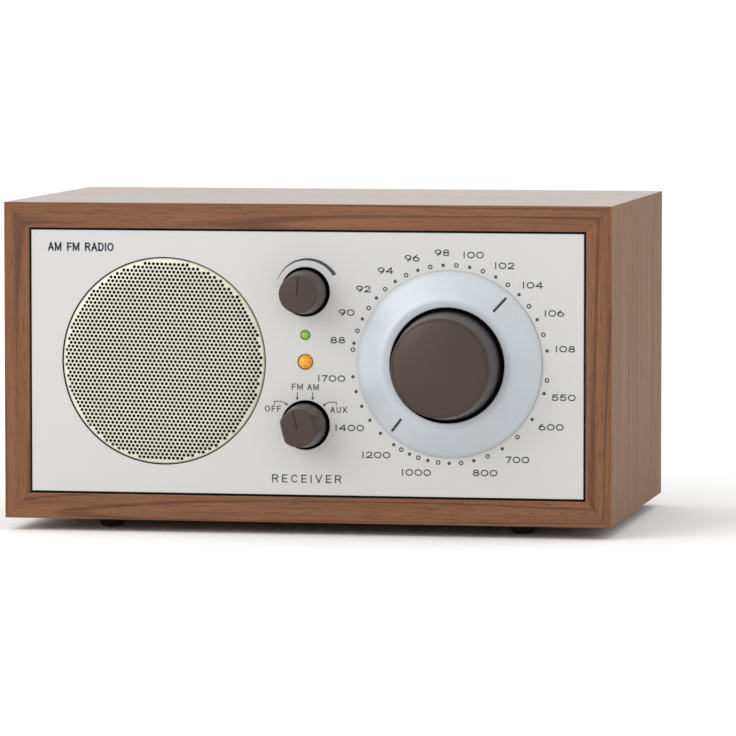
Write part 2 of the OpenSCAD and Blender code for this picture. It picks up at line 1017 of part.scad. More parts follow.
module main_board() {
    color(board_green)
        difference() {
            block(main_x, main_depth, [main_z, main_top]);
            for (x = [main_x[0] + standoff_inset, main_x[1] - standoff_inset],
                 depth = [main_depth[0] + standoff_inset, main_depth[1] - standoff_inset])
                standing_hole(x, depth, screw_hole_r, main_z - 1, main_top + 1);
        }
    color("#3c4a6b")
        for (i = [0:2])
            standing_hole(4 + i * 13, 96, 5, main_top, main_top + 14);
    color(steel)
        for (i = [0:3])
            block([18 + i * 9, 25 + i * 9], [64, 71], [main_top, main_top + 9]);
    color(dark_plastic)
        for (i = [0:1])
            block([-4 + i * 24, 14 + i * 24], [78, 85], [main_top, main_top + 3]);
    color(dark_plastic)
        block([-11, -5], [54.5, 60], [main_top, main_top + 4]);
}

module board_standoffs()
    color(brass)
        for (x = [main_x[0] + standoff_inset, main_x[1] - standoff_inset],
             depth = [main_depth[0] + standoff_inset, main_depth[1] - standoff_inset])
            union() {
                standing_hole(x, depth, 3, board_t, main_z);
                standing_hole(x, depth, screw_r, main_z - 1, main_top + 0.5);
                standing_hole(x, depth, screw_head_r, main_top, main_top + 1.6);
            }

module heat_sink()
    color("#55585c")
        union() {
            block([20, 48], [50, 52], [main_top, main_top + 18]);
            for (i = [0:6])
                block([20 + i * 4.4, 21.4 + i * 4.4], [51.5, 59], [main_top, main_top + 18]);
        }

core_x = [57, 93];
core_depth = [66, 84];
core_h = 34;
core_leg = 6;

module transformer() {
    color("#5b5f66")
        difference() {
            block(core_x, core_depth, [board_t, board_t + core_h]);
            for (x = [core_x[0] + core_leg, (core_x[0] + core_x[1]) / 2 + core_leg])
                block([x, x + core_leg], [core_depth[0] - 1, core_depth[1] + 1],
                    [board_t + core_leg, board_t + core_h - core_leg]);
        }
    color("#c9a646")
        difference() {
            block([core_x[0] + core_leg + 0.3, core_x[1] - core_leg - 0.3],
                [core_depth[0] - 6, core_depth[1] + 6],
                [board_t + core_leg + 0.3, board_t + core_h - core_leg - 0.3]);
            block([core_x[0] + 2 * core_leg - 0.3, core_x[1] - 2 * core_leg + 0.3],
                [core_depth[0] - 0.3, core_depth[1] + 0.3], [board_t, board_t + core_h]);
        }
}

rod_z = 88;
rod_depth = 104;
rod_x = [-35, 75];
rod_r = 5;

module lying_rod(radius, x)
    translate([x[0], front_y + rod_depth, foot_h + rod_z])
        rotate([0, 90, 0])
            cylinder(r = radius, h = x[1] - x[0]);

module ferrite_antenna() {
    color("#2e2e30")
        lying_rod(rod_r, rod_x);
    color("#b5763f")
        difference() {
            lying_rod(rod_r + 1.6, [8, 32]);
            lying_rod(rod_r + 0.05, [7, 33]);
        }
}

module rod_holders()
    color("#d8d4c8")
        for (x = [-22, 56])
            difference() {
                block([x, x + 6], [rod_depth - 8, rod_depth + 8], [rod_z - 8, inner_high]);
                lying_rod(rod_r + 0.05, [x - 1, x + 7]);
            }

// ---------------------------------------------------------------- rear connections

socket_end = rear_outer + 8;
socket_nut_t = 2;

module antenna_socket()
    color(steel)
        along_depth(socket_x, socket_z)
            difference() {
                union() {
                    rod(socket_neck_r, rear_inner - 8, socket_end);
                    translate([0, 0, rear_outer])
                        cylinder(r = 6.6, h = socket_nut_t, $fn = 6);
                    rod(7, rear_inner - 3, rear_inner);
                }
                tube(3.9, 2.6, socket_end - 5, socket_end + 1);
                rod(0.6, socket_end - 6, socket_end + 1);
            }

switch_travel = 4;
slider_w = 3.8;

module antenna_switch()
    color(steel)
        along_depth(switch_x, switch_z)
            difference() {
                deep_box(16, 8, rear_inner - 7, rear_inner);
                deep_box(10.4, 5, rear_inner - 4, rear_inner + 1);
            }

module switch_slider()
    color(dark_plastic)
        along_depth(switch_x - switch_travel / 2, switch_z)
            union() {
                deep_box(slider_w, 3.6, rear_inner - 3.6, rear_outer + 2.2);
                deep_box(5.6, 4.4, rear_inner - 3.6, rear_inner - 0.4);
            }

terminal_back = rear_outer + 5.5;
button = [8.4, 4.2];
button_travel = 2;
wire_hole_r = 1.25;

module terminal_block()
    color("#2f2f33")
        along_depth(terminal_x, terminal_z)
            difference() {
                union() {
                    deep_box(28, 14, rear_outer, terminal_back);
                    deep_box(23.4, 8.4, rear_inner - 2, rear_outer + 0.5);
                }
                for (side = [-1, 1])
                    translate([side * terminal_pitch / 2, 0, 0]) {
                        translate([0, -2.6, 0])
                            deep_box(button[0] + 0.6, button[1] + 0.6, rear_outer - 2, terminal_back + 1);
                        translate([0, 4, 0])
                            rod(wire_hole_r, rear_outer - 2, terminal_back + 1);
                    }
            }

module terminal_button(side, tint)
    color(tint)
        along_depth(terminal_x + side * terminal_pitch / 2, terminal_z)
            translate([0, -2.6, 0])
                deep_box(button[0], button[1], rear_outer + 0.6, terminal_back + button_travel);

module terminal_button_left() terminal_button(-1, "#2b2b2d");
module terminal_button_right() terminal_button(1, "#9c2f2a");

jack_bore_length = 14;
jack_mouth = rear_outer + 1.5;

module audio_jacks()
    color(dark_plastic)
        for (x = jack_xs)
            along_depth(x, jack_z)
                difference() {
                    union() {
                        rod(jack_nose_r, rear_inner - 1, jack_mouth);
                        deep_box(10, 10, rear_inner - 14, rear_inner);
                    }
                    rod(jack_bore_r, jack_mouth - jack_bore_length, jack_mouth + 1);
                }

ac_mouth = rear_outer + 1.5;
ac_pocket = [16.4, 8.4];
ac_pocket_depth = 10;
ac_pin_r = 1.2;
ac_pin_pitch = 8.6;
dc_mouth = rear_outer + 1.5;

// The mains inlet and the low-voltage inlet.
module power_sockets() {
    color(dark_plastic)
        along_depth(ac_x, ac_z)
            union() {
                difference() {
                    union() {
                        deep_box(ac_body[0], ac_body[1], rear_inner - 12, ac_mouth - 0.5);
                        deep_box(25, 14.5, rear_outer, ac_mouth);
                    }
                    deep_box(ac_pocket[0], ac_pocket[1], ac_mouth - ac_pocket_depth, ac_mouth + 1);
                }
                for (side = [-1, 1])
                    translate([side * ac_pin_pitch / 2, 0, 0])
                        rod(ac_pin_r, ac_mouth - ac_pocket_depth - 1, ac_mouth - 2);
            }
    color(dark_plastic)
        along_depth(dc_x, dc_z)
            union() {
                difference() {
                    union() {
                        rod(dc_nose_r, rear_inner - 1, dc_mouth);
                        deep_box(9, 11, rear_inner - 11, rear_inner);
                    }
                    rod(2.8, dc_mouth - 9, dc_mouth + 1);
                }
                rod(1, dc_mouth - 10, dc_mouth - 1);
            }
}

// ---------------------------------------------------------------- the assembly

cabinet_top();
cabinet_bottom();
cabinet_left();
cabinet_right();
corner_blocks();
feet();
front_panel();
baffle();
baffle_screws();
rear_panel();
rear_screws();
bass_port();
grille();
speaker_gasket();
speaker_frame();
speaker_surround();
speaker_cone();
dust_cap();
voice_coil();
spider();
speaker_magnet();
pole_pieces();
speaker_screws();
speaker_lead();
tuning_knob();
tuning_shaft();
dial_ring();
dial_pointers();
dial_hub();
ball_cage();
drive_balls();
drive_housing();
capacitor_frame();
capacitor_rotor();
volume_knob();
volume_shaft();
volume_pot();
function_knob();
function_shaft();
function_switch();
control_nuts();
control_bracket();
control_board();
chassis_screws();
power_led();
tuning_led();
main_board();
board_standoffs();
heat_sink();
transformer();
ferrite_antenna();
rod_holders();
antenna_socket();
antenna_switch();
switch_slider();
terminal_block();
terminal_button_left();
terminal_button_right();
audio_jacks();
power_sockets();
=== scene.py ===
# %% [markdown]
# # A tabletop radio in a walnut cabinet
#
# This lesson dresses a radio whose hard parts were already designed and packed as a frame.
# The frame says where every part is and how it moves, so nothing here has to be measured
# twice. We keep the hidden parts as they are and give them better finishes, and we make a
# new, finer piece for each part that the eye reaches. Lengths are in metres in Blender. The
# drawings below are in millimetres, because that is how such a radio is dimensioned.

# %% Load the frame
import math

import bmesh
import bpy
from mathutils import Matrix, Vector


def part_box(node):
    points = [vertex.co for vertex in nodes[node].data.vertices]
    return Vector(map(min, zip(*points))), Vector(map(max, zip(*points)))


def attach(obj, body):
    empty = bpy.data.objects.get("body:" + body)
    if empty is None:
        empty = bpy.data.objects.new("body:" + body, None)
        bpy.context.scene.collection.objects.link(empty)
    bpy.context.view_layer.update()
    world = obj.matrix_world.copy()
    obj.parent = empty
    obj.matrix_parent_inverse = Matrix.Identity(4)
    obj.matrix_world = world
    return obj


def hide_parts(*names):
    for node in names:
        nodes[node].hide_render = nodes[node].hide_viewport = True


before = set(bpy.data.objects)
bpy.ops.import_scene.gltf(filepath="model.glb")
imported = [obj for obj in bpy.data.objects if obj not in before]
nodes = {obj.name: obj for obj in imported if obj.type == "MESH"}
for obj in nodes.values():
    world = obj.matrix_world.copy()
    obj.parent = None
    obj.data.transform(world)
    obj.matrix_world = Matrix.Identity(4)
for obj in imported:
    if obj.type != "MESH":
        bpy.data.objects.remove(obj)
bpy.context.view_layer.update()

# %% [markdown]
# ## One way to say where things are
#
# A cabinet maker measures from the front edges of the boards and from the underside of the
# cabinet. The frame measures from the table and from the middle of the whole radio. One small
# function turns the maker's numbers into the frame's, and everything else is drawn with it.

# %% Places
MM = 0.001
front_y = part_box("cabinet_bottom")[0].y
foot_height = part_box("cabinet_bottom")[0].z


def place(x, depth, z):
    """A point in the frame: x right of the middle, depth behind the boards' front edges and z
    above the cabinet's underside."""
    return Vector((x * MM, front_y + depth * MM, foot_height + z * MM))


def middle(node):
    """The centre of a CAD node as (x, z) in the maker's millimetres."""
    low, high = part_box(node)
    centre = (low + high) / 2
    return centre.x / MM, (centre.z - foot_height) / MM


def deepest(node):
    """How far a CAD node reaches behind the boards' front edges, in millimetres."""
    return (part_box(node)[1].y - front_y) / MM


speaker = middle("grille")
dial = middle("dial_ring")
volume = middle("volume_pot")
function = middle("function_switch")
power_lamp = middle("power_led")
tuning_lamp = middle("tuning_led")
print("speaker", speaker, "dial", dial)

# %% [markdown]
# ## Camera
#
# A catalogue picture of a radio is taken from far away with a long lens, so that its lines
# stay nearly parallel. The camera stands two metres off, a little to the right and a little
# above, and looks at a point near the middle of the front.

# %% Camera
camera_data = bpy.data.cameras.new("studio_camera")
camera_data.lens = 284.75
camera_data.sensor_width = 36
camera = bpy.data.objects.new("studio_camera", camera_data)
camera.location = (0.37775, -2.01962, 0.19947)
looks_at = Vector((0.02201, -0.0557, 0.0581))
camera.rotation_euler = (looks_at - camera.location).to_track_quat("-Z", "Y").to_euler()
bpy.context.scene.collection.objects.link(camera)
bpy.context.scene.camera = camera
print("camera distance in m:", round((looks_at - camera.location).length, 3))

# %% [markdown]
# ## A short way to write a finish
#
# A finish is a tree of shader nodes. Written out in full, each tree would fill a page, so a
# small class adds a node, sets its sockets and joins the wires. A value that is the same all
# over a surface is set on the shader's own socket. Only what changes from place to place,
# such as grain, is wired in. Patterns read Object coordinates, which here are metres.

# %% Finishes, in short


def paint(code):
    """A colour written as six hexadecimal digits, in the linear light that shaders use."""
    parts = [int(code[i:i + 2], 16) / 255 for i in (1, 3, 5)]
    linear = [p / 12.92 if p <= 0.04045 else ((p + 0.055) / 1.055) ** 2.4 for p in parts]
    return (*linear, 1)


def wire(tree, made, wires):
    """Sets a node's sockets, or joins them to other nodes' outputs."""
    for socket, value in (wires or {}).items():
        if isinstance(value, bpy.types.NodeSocket):
            tree.links.new(value, made.inputs[socket])
        else:
            made.inputs[socket].default_value = value


class Finish:
    """A material under construction."""

    def __init__(self, name, **sockets):
        self.material = bpy.data.materials.new(name)
        self.material.use_nodes = True
        self.tree = self.material.node_tree
        self.shader = self.tree.nodes["Principled BSDF"]
        wire(self.tree, self.shader, {k.replace("_", " "): v for k, v in sockets.items()})
        self.here = self.add("ShaderNodeTexCoord").outputs["Object"]

    def add(self, kind, wires=None, **settings):
        made = self.tree.nodes.new(kind)
        for setting, value in settings.items():
            setattr(made, setting, value)
        wire(self.tree, made, wires)
        return made

    def stretched(self, scale, turn=(0, 0, 0), shift=(0, 0, 0)):
        """Coordinates that a pattern reads, stretched, turned and shifted."""
        return self.add("ShaderNodeMapping", {
            "Vector": self.here, "Scale": scale, "Rotation": turn, "Location": shift,
        }).outputs["Vector"]

    def noise(self, where, scale=1.0, detail=2, roughness=0.5):
        return self.add("ShaderNodeTexNoise", {
            "Vector": where, "Scale": scale, "Detail": detail, "Roughness": roughness,
        }).outputs["Fac"]

    def level(self, value, low, high, to_low=0.0, to_high=1.0):
        """Stretches the range low to high of a value to a new range."""
        return self.add("ShaderNodeMapRange", {
            0: value, 1: low, 2: high, 3: to_low, 4: to_high,
        }).outputs[0]

    def reckon(self, operation, first, second=0.0):
        return self.add("ShaderNodeMath", {0: first, 1: second}, operation=operation).outputs[0]

    def blend(self, share, first, second):
        """A mix of two colours, from all first at share 0 to all second at share 1."""
        return self.add("ShaderNodeMix", {0: share, 6: first, 7: second},
                        data_type="RGBA").outputs[2]

    def use(self, **sockets):
        """Wires a pattern into the shader's sockets."""
        wire(self.tree, self.shader, {k.replace("_", " "): v for k, v in sockets.items()})
        return self

    def relief(self, height, strength, distance):
        """Turns a pattern into small hills, distance high in metres."""
        bump = self.add("ShaderNodeBump", {
            "Height": height, "Strength": strength, "Distance": distance,
        })
        return self.use(Normal=bump.outputs["Normal"])


# %% [markdown]
# ## Walnut
#
# Walnut is a mid brown wood with darker growth lines, fine streaks along the grain and short
# dark pores. A picture of a plank would do, but it repeats and it stops at the edges. A
# solid pattern runs through the board instead, so the front edge, the top and the side agree.
# The growth lines are contour lines of a smooth noise that is stretched along the grain. The
# lying boards have their grain from left to right, the standing ones from bottom to top. Faces
# that point forward are painted darker and redder, the top and the sides lighter and yellower:
# this is painted light and shade, chosen by the way a face points.

# %% Walnut


def walnut(name, along, shift, gloss, **sockets):
    """Oiled walnut whose grain runs along axis 0 or 2, painted darker and redder where faces point
    forward, as painted shade.
    """
    wood = Finish(name, **sockets)

    def grain(length, width):
        return wood.stretched([length if axis == along else width for axis in range(3)], shift=shift)

    facing = wood.add("ShaderNodeNewGeometry").outputs["True Normal"]
    front = wood.level(wood.add("ShaderNodeSeparateXYZ", {0: facing}).outputs["Y"], -0.5, -0.9)
    broad = wood.noise(grain(2.2, 60), detail=1)
    growth = wood.reckon("SINE", wood.reckon("MULTIPLY", broad, 70))
    streak = wood.noise(grain(9, 300), detail=4, roughness=0.65)
    fibre = wood.noise(grain(60, 1900), detail=3, roughness=0.6)
    pore = wood.level(wood.noise(grain(150, 3200), detail=1), 0.6, 0.7)
    figure = wood.noise(grain(6, 110), detail=3)

    # Painted light and shade: faces that point forward get the darker, redder tone, the top and the
    # sides the lighter, yellower one.
    forward_shade_tone = wood.blend(wood.level(streak, 0.3, 0.72), paint("#643f2a"), paint("#82563c"))
    face = wood.blend(wood.level(streak, 0.32, 0.68), paint("#6e523b"), paint("#947359"))
    tone = wood.blend(front, face, forward_shade_tone)
    tone = wood.blend(wood.level(figure, 0.3, 0.7, 0.0, 0.4), tone, paint("#75503a"))
    line = wood.reckon("MULTIPLY", wood.level(growth, 0.72, 1.0), wood.level(front, 0, 1, 0.1, 0.6))
    tone = wood.blend(line, tone, paint("#3c2114"))
    tone = wood.blend(wood.level(fibre, 0.35, 0.7, 0.0, 0.25), tone, paint("#8f6a4f"))
    tone = wood.blend(wood.reckon("MULTIPLY", pore, 0.45), tone, paint("#2c1710"))
    wood.use(Base_Color=tone, Specular_IOR_Level=wood.level(front, 0, 1, gloss, 0.15))
    wood.relief(wood.reckon("SUBTRACT", fibre, pore), 0.25, 0.00012)
    return wood.material


walnut_lying = walnut("walnut_lying", 0, (0.013, 0.029, 0.007), 0.66, Roughness=0.28)
walnut_standing = walnut("walnut_standing", 2, (0.041, 0.003, 0.019), 0.04, Roughness=0.5)
print("grain runs along the boards:", walnut_lying.name, walnut_standing.name)

# %% [markdown]
# ## Lacquer, pearl and moulded plastic
#
# The front panel is off-white satin lacquer, the ring is a pale silver with a pearl in it, and
# the knobs are satin taupe. Up close, lacquer has a slight orange peel, a pearl has flakes,
# and a moulding has a fine eroded grain. One function writes all of these: a base colour, a
# second colour for slow clouds or flakes, a grain size and a relief.

# %% Lacquered and moulded finishes


def coated(name, colour, second, share=0.25, grain=2500.0, cloud=60.0, relief=0.08,
           depth=0.00004, *, rough, flakes=False, **sockets):
    """A coloured coat with slow clouds, a fine grain and a slightly uneven gloss."""
    coat = Finish(name, **sockets)
    clouds = coat.level(coat.noise(coat.here, cloud, 3), 0.3, 0.7, 0.0, share)
    fine = coat.noise(coat.here, grain, 2, 0.6)
    if flakes:
        cells = coat.add("ShaderNodeTexVoronoi", {"Vector": coat.here, "Scale": grain})
        clouds = coat.reckon("MULTIPLY", coat.reckon("ADD", clouds, cells.outputs["Color"]), 0.5)
    tone = coat.blend(clouds, paint(colour), paint(second))
    coat.use(Base_Color=tone, Roughness=coat.level(fine, 0.3, 0.7, *rough))
    coat.relief(fine, relief, depth)
    return coat.material


panel_lacquer = coated("panel_lacquer", "#bfbebc", "#bab9b7", cloud=25, rough=(0.33, 0.4),
                       Specular_IOR_Level=0.45)
ring_pearl = coated("ring_pearl", "#b1b6bb", "#c5cacf", 0.5, grain=7000, relief=0.05,
                    rough=(0.42, 0.5), flakes=True, Metallic=0.25, Coat_Weight=0.1,
                    Coat_Roughness=0.2)
knob_lacquer = coated("knob_lacquer", "#4a403c", "#413733", grain=4200, relief=0.06,
                      rough=(0.3, 0.37), Metallic=0.8)
grille_enamel = coated("grille_enamel", "#d2d1c0", "#c9c8b6", grain=3000, rough=(0.36, 0.46),
                       Metallic=0.1)
print_ink = coated("print_ink", "#33363b", "#3b3e44", grain=5000, rough=(0.5, 0.6))
arc_ink = coated("arc_ink", "#30333f", "#393c49", grain=5000, rough=(0.5, 0.6))
rear_ink = coated("rear_ink", "#c9cacb", "#b4b5b6", grain=5000, rough=(0.5, 0.6))
black_moulding = coated("black_moulding", "#1b1b1c", "#232324", grain=1400, relief=0.35,
                        depth=0.00012, rough=(0.45, 0.6))
black_gloss = coated("black_gloss", "#161617", "#1d1d1e", grain=3000, rough=(0.3, 0.42))
red_moulding = coated("red_moulding", "#8e2320", "#9c302a", grain=1500, relief=0.2,
                      rough=(0.4, 0.5))
foot_rubber = coated("foot_rubber", "#232221", "#2d2b2a", grain=900, relief=0.4,
                     depth=0.00015, rough=(0.7, 0.85), Specular_IOR_Level=0.3)
nylon = coated("nylon", "#cfcabc", "#c4bfb0", rough=(0.4, 0.55), Subsurface_Weight=0.05)
lead_plastic = coated("lead_plastic", "#8f2c24", "#a13a30", rough=(0.4, 0.5))
print("coats made:", len(bpy.data.materials))

# %% [markdown]
# ## Metals, boards, paper and cloth inside
#
# The hidden parts are seen when the radio is opened on the screen, so they get honest finishes
# too: brushed or plated metal, a green circuit board with tracks, paper with fibres for the
# cone, woven cloth for the spider and copper windings for the coil.

# %% Inner finishes


def metal(name, colour, second, rough=(0.25, 0.4)):
    """Bare or plated metal, with fine lines from drawing and grinding."""
    plate = Finish(name, Metallic=1.0)
    brushed = plate.stretched((900, 60, 900))
    lines = plate.noise(brushed, detail=4, roughness=0.7)
    tone = plate.blend(plate.level(lines, 0.3, 0.7), paint(colour), paint(second))
    plate.use(Base_Color=tone, Roughness=plate.level(lines, 0.3, 0.7, *rough))
    return plate.relief(lines, 0.06, 0.00003).material


def waved(name, colour, second, scale, direction, rough, **sockets):
    """Ribs, windings or tracks: bands across one direction."""
    ribs = Finish(name, **sockets)
    bands = ribs.add("ShaderNodeTexWave", {
        "Vector": ribs.here, "Scale": scale, "Distortion": 1.2, "Detail": 2,
        "Detail Scale": 3,
    }, bands_direction=direction).outputs["Fac"]
    ribs.use(Base_Color=ribs.blend(bands, paint(colour), paint(second)),
             Roughness=ribs.level(bands, 0, 1, *rough))
    return ribs.relief(bands, 0.5, 0.0002).material


def circuit_green():
    """Solder mask over copper tracks, with the tracks as blocks of a brick pattern."""
    board = Finish("circuit_green", Coat_Weight=0.4, Coat_Roughness=0.2)
    tracks = board.add("ShaderNodeTexBrick", {
        "Vector": board.stretched((1, 1, 1), turn=(0.02, 0.03, 0.8)), "Scale": 260,
        "Mortar Size": 0.035, "Color1": paint("#1f5a3c"), "Color2": paint("#25663f"),
        "Mortar": paint("#3d8a57"),
    })
    speck = board.noise(board.here, 900, 3)
    tone = board.blend(board.level(speck, 0.3, 0.7, 0, 0.2), tracks.outputs["Color"],
                       paint("#174a30"))
    board.use(Base_Color=tone, Roughness=board.level(speck, 0.3, 0.7, 0.35, 0.5))
    return board.relief(tracks.outputs["Fac"], 0.3, 0.0001).material


def woven(name, colour, second, pitch, rough):
    """A plain weave: two sets of threads that cross."""
    cloth = Finish(name, Roughness=rough)
    across, along = (cloth.add("ShaderNodeTexWave", {
        "Vector": cloth.here, "Scale": pitch,
    }, bands_direction=way).outputs["Fac"] for way in ("X", "Z"))
    threads = cloth.reckon("MAXIMUM", across, along)
    cloth.use(Base_Color=cloth.blend(threads, paint(colour), paint(second)))
    return cloth.relief(threads, 0.6, 0.0002).material


zinc_steel = metal("zinc_steel", "#9fa3a6", "#b8bcbf")
nickel = metal("nickel", "#b3b0a8", "#c9c6be", (0.18, 0.3))
brass = metal("brass", "#b8954a", "#cfae66", (0.2, 0.35))
black_aluminium = metal("black_aluminium", "#2c2e31", "#3a3c40", (0.35, 0.5))
core_steel = waved("core_steel", "#4c5057", "#686c73", 500, "Y", (0.4, 0.55), Metallic=0.7)
coil_copper = waved("coil_copper", "#8f4c22", "#c9804c", 900, "Y", (0.25, 0.4), Metallic=0.9)
circuit_board = circuit_green()
paxolin = coated("paxolin", "#5f4327", "#735333", 0.7, cloud=400, rough=(0.45, 0.6))
ferrite = coated("ferrite", "#2b2b2e", "#3a3a3e", 0.6, grain=1800, relief=0.3, rough=(0.5, 0.7))
glue_block_wood = coated("glue_block_wood", "#b99a6e", "#a3845a", 0.9, grain=1500, cloud=220,
                         relief=0.3, rough=(0.6, 0.75))
black_board = coated("black_board", "#111112", "#1a1a1b", 0.5, grain=700, relief=0.4,
                     depth=0.0001, rough=(0.65, 0.8), Specular_IOR_Level=0.3)
# A near black that stands in for the shade in gaps and holes: painted shade.
painted_shade_black = coated("painted_shade_black", "#09090a", "#0e0e0f", 0.5, grain=1200, relief=0.2,
                     rough=(0.7, 0.85), Specular_IOR_Level=0.15)
cone_paper = coated("cone_paper", "#1f1f21", "#2c2c2e", 0.8, grain=1300, cloud=700, relief=0.5,
                    depth=0.00012, rough=(0.75, 0.9), Specular_IOR_Level=0.3)
surround_rubber = coated("surround_rubber", "#161618", "#1f1f21", grain=900, relief=0.2,
                         rough=(0.5, 0.65))
foam = coated("foam", "#19191a", "#262627", 0.8, grain=600, cloud=900, relief=0.8,
              depth=0.0003, rough=(0.85, 0.95))
spider_cloth = woven("spider_cloth", "#7e5a1f", "#c9993f", 420, 0.8)
print("finishes made:", len(bpy.data.materials))

# %% [markdown]
# ## The lamps
#
# Each lamp is a small dome of tinted resin. Light scatters a little below its surface, a
# glossy coat gives it a highlight, and a weak even glow shows that it is lit. A noise makes
# the resin slightly cloudy.

# %% Lamps


def lamp_resin(name, colour, second, glow):
    """Cloudy tinted resin with a glossy coat and a weak glow."""
    resin = Finish(name, Roughness=0.12, IOR=1.5, Coat_Weight=0.6, Coat_Roughness=0.05,
                   Subsurface_Weight=0.2, Subsurface_Radius=(0.001, 0.001, 0.0005),
                   Emission_Strength=glow)
    cloudy = resin.level(resin.noise(resin.here, 1600, 3), 0.3, 0.7)
    tone = resin.blend(cloudy, paint(colour), paint(second))
    resin.use(Base_Color=tone, Emission_Color=tone)
    return resin.relief(cloudy, 0.03, 0.00003).material


lamp_green = lamp_resin("lamp_green", "#6f9f2a", "#86b53c", 0.12)
lamp_amber = lamp_resin("lamp_amber", "#d08008", "#e09414", 0.2)
print("lamps:", lamp_green.name, lamp_amber.name)

# %% [markdown]
# ## Handing a piece over
#
# Every new piece goes through one door. Its double points are merged, its faces are turned to
# point outwards, its edges are smooth where it curves and crisp where it turns sharply, and
# then it rides on the body that it moves with, the CAD nodes that it stands for are hidden, and
# it takes its finish.

# %% Handing over


coarse_merge, fine_merge = 1e-6, 1e-8


def shaded(mesh, smooth=30):
    """Smooth faces, but crisp edges where the surface turns by more than smooth degrees."""
    mesh.polygons.foreach_set("use_smooth", [True] * len(mesh.polygons))
    mesh.set_sharp_from_angle(angle=math.radians(smooth))
    return mesh


def tidy_mesh(mesh, smooth=30, merge=coarse_merge):
    """Merges doubles, turns faces outwards and marks the sharp edges."""
    work = bmesh.new()
    work.from_mesh(mesh)
    bmesh.ops.remove_doubles(work, verts=work.verts, dist=merge)
    bmesh.ops.recalc_face_normals(work, faces=work.faces)
    work.to_mesh(mesh)
    work.free()
    return shaded(mesh, smooth)


def hand_over(mesh, name, body, stands_for=(), finish=None):
    """A finished piece: an object at the origin that rides on its body."""
    mesh.name = name
    if finish is not None:
        mesh.materials.clear()
        mesh.materials.append(finish)
    piece = bpy.data.objects.new(name, mesh)
    bpy.context.scene.collection.objects.link(piece)
    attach(piece, body)
    if stands_for:
        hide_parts(*stands_for)
    print(f"{name}: {sum(len(p.vertices) - 2 for p in mesh.polygons)} triangles on {body}")
    return piece


def new_mesh(points, faces, smooth=30):
    """A mesh from points and faces, ready to hand over."""
    mesh = bpy.data.meshes.new("work")
    mesh.from_pydata([tuple(p) for p in points], [], faces)
    return tidy_mesh(mesh, smooth)


def joined(*meshes):
    """Several meshes as one, each with its own finish kept as a slot."""
    work = bmesh.new()
    finishes = []
    for mesh in meshes:
        start = len(work.faces)
        work.from_mesh(mesh)
        work.faces.ensure_lookup_table()
        own = mesh.materials[0] if mesh.materials else None
        if own not in finishes:
            finishes.append(own)
        for face in work.faces[start:]:
            face.material_index = finishes.index(own)
    result = bpy.data.meshes.new("work")
    work.to_mesh(result)
    work.free()
    for finish in filter(None, finishes):
        result.materials.append(finish)
    return shaded(result)


# %% [markdown]
# ## Turning on a lathe
#
# Knobs, the ring, the feet and the sockets are turned parts: an outline of radius and depth
# that goes once round an axis. Blender has a Screw modifier for this, but a few lines that
# write the points give us closed poles and any axis. A second helper rounds the corners of
# an outline, because no real part has a knife edge.

# %% The lathe


def rounded(outline, steps=4):
    """An outline of (radius, depth, corner) with every corner turned into an arc of that radius."""
    result = []
    for i, (x, y, corner) in enumerate(outline):
        here = Vector((x, y))
        before = Vector(outline[i - 1][:2]) - here
        after = Vector(outline[(i + 1) % len(outline)][:2]) - here
        if corner <= 0 or i in (0, len(outline) - 1):
            result.append((x, y))
            continue
        a, b = before.normalized(), after.normalized()
        half = a.angle(b) / 2
        reach = corner / math.tan(half)
        centre = here + (a + b).normalized() * corner / math.sin(half)
        start, stop = here + a * reach - centre, here + b * reach - centre
        turn = math.atan2(start.x * stop.y - start.y * stop.x, start.dot(stop))
        for k in range(steps + 1):
            angle = turn * k / steps
            result.append((
                centre.x + start.x * math.cos(angle) - start.y * math.sin(angle),
                centre.y + start.x * math.sin(angle) + start.y * math.cos(angle),
            ))
    return result


def on_front(centre):
    """An axis along the depth, at (x, z)."""
    return lambda a, b, depth: place(centre[0] + a, depth, centre[1] + b)


def upright(x, depth):
    """An axis straight up, at (x, depth), with heights above the cabinet's underside."""
    return lambda a, b, height: place(x + a, depth + b, height)


def turned(outline, axis, steps, closed=False, smooth=30):
    """A mesh of an outline of (radius, depth) turned once round an axis."""
    points, rows = [], []
    for radius, depth in outline:
        count = 1 if radius < 1e-6 else steps
        rows.append([len(points) + k for k in range(count)])
        for k in range(count):
            angle = 2 * math.pi * k / steps
            points.append(axis(radius * math.cos(angle), radius * math.sin(angle), depth))
    faces = []
    pairs = list(zip(rows, rows[1:])) + ([(rows[-1], rows[0])] if closed else [])
    for one, two in pairs:
        for k in range(steps):
            n = (k + 1) % steps
            corners = [one[k % len(one)], one[n % len(one)], two[n % len(two)], two[k % len(two)]]
            faces.append(list(dict.fromkeys(corners)))
    return new_mesh(points, [f for f in faces if len(f) > 2], smooth)


# %% [markdown]
# ## Cutting with other shapes
#
# A groove in a knob, or a flat on its side, is easiest to make as the factory does: turn the
# body first, then cut. The Boolean modifier does this. The cut happens on a scratch object,
# whose result is read back as a plain mesh, so no modifier is left on the piece.

# %% Cutting


def evaluated(work):
    """The plain mesh of a scratch object with its modifiers, which is then thrown away."""
    bpy.context.scene.collection.objects.link(work)
    bpy.context.view_layer.update()
    graph = bpy.context.evaluated_depsgraph_get()
    mesh = bpy.data.meshes.new_from_object(work.evaluated_get(graph), depsgraph=graph)
    bpy.data.objects.remove(work)
    return mesh


maker_axes = Matrix.Translation(place(0, 0, 0)) @ Matrix.Scale(MM, 4)


def box_mesh(x, y, z, matrix):
    """A box from its sides on three axes, in millimetres, put in place by a matrix."""
    corners = [Vector((a, b, c)) for a in x for b in y for c in z]
    faces = [(0, 1, 3, 2), (4, 6, 7, 5), (0, 4, 5, 1), (2, 3, 7, 6), (0, 2, 6, 4), (1, 5, 7, 3)]
    return new_mesh([matrix @ p for p in corners], faces)


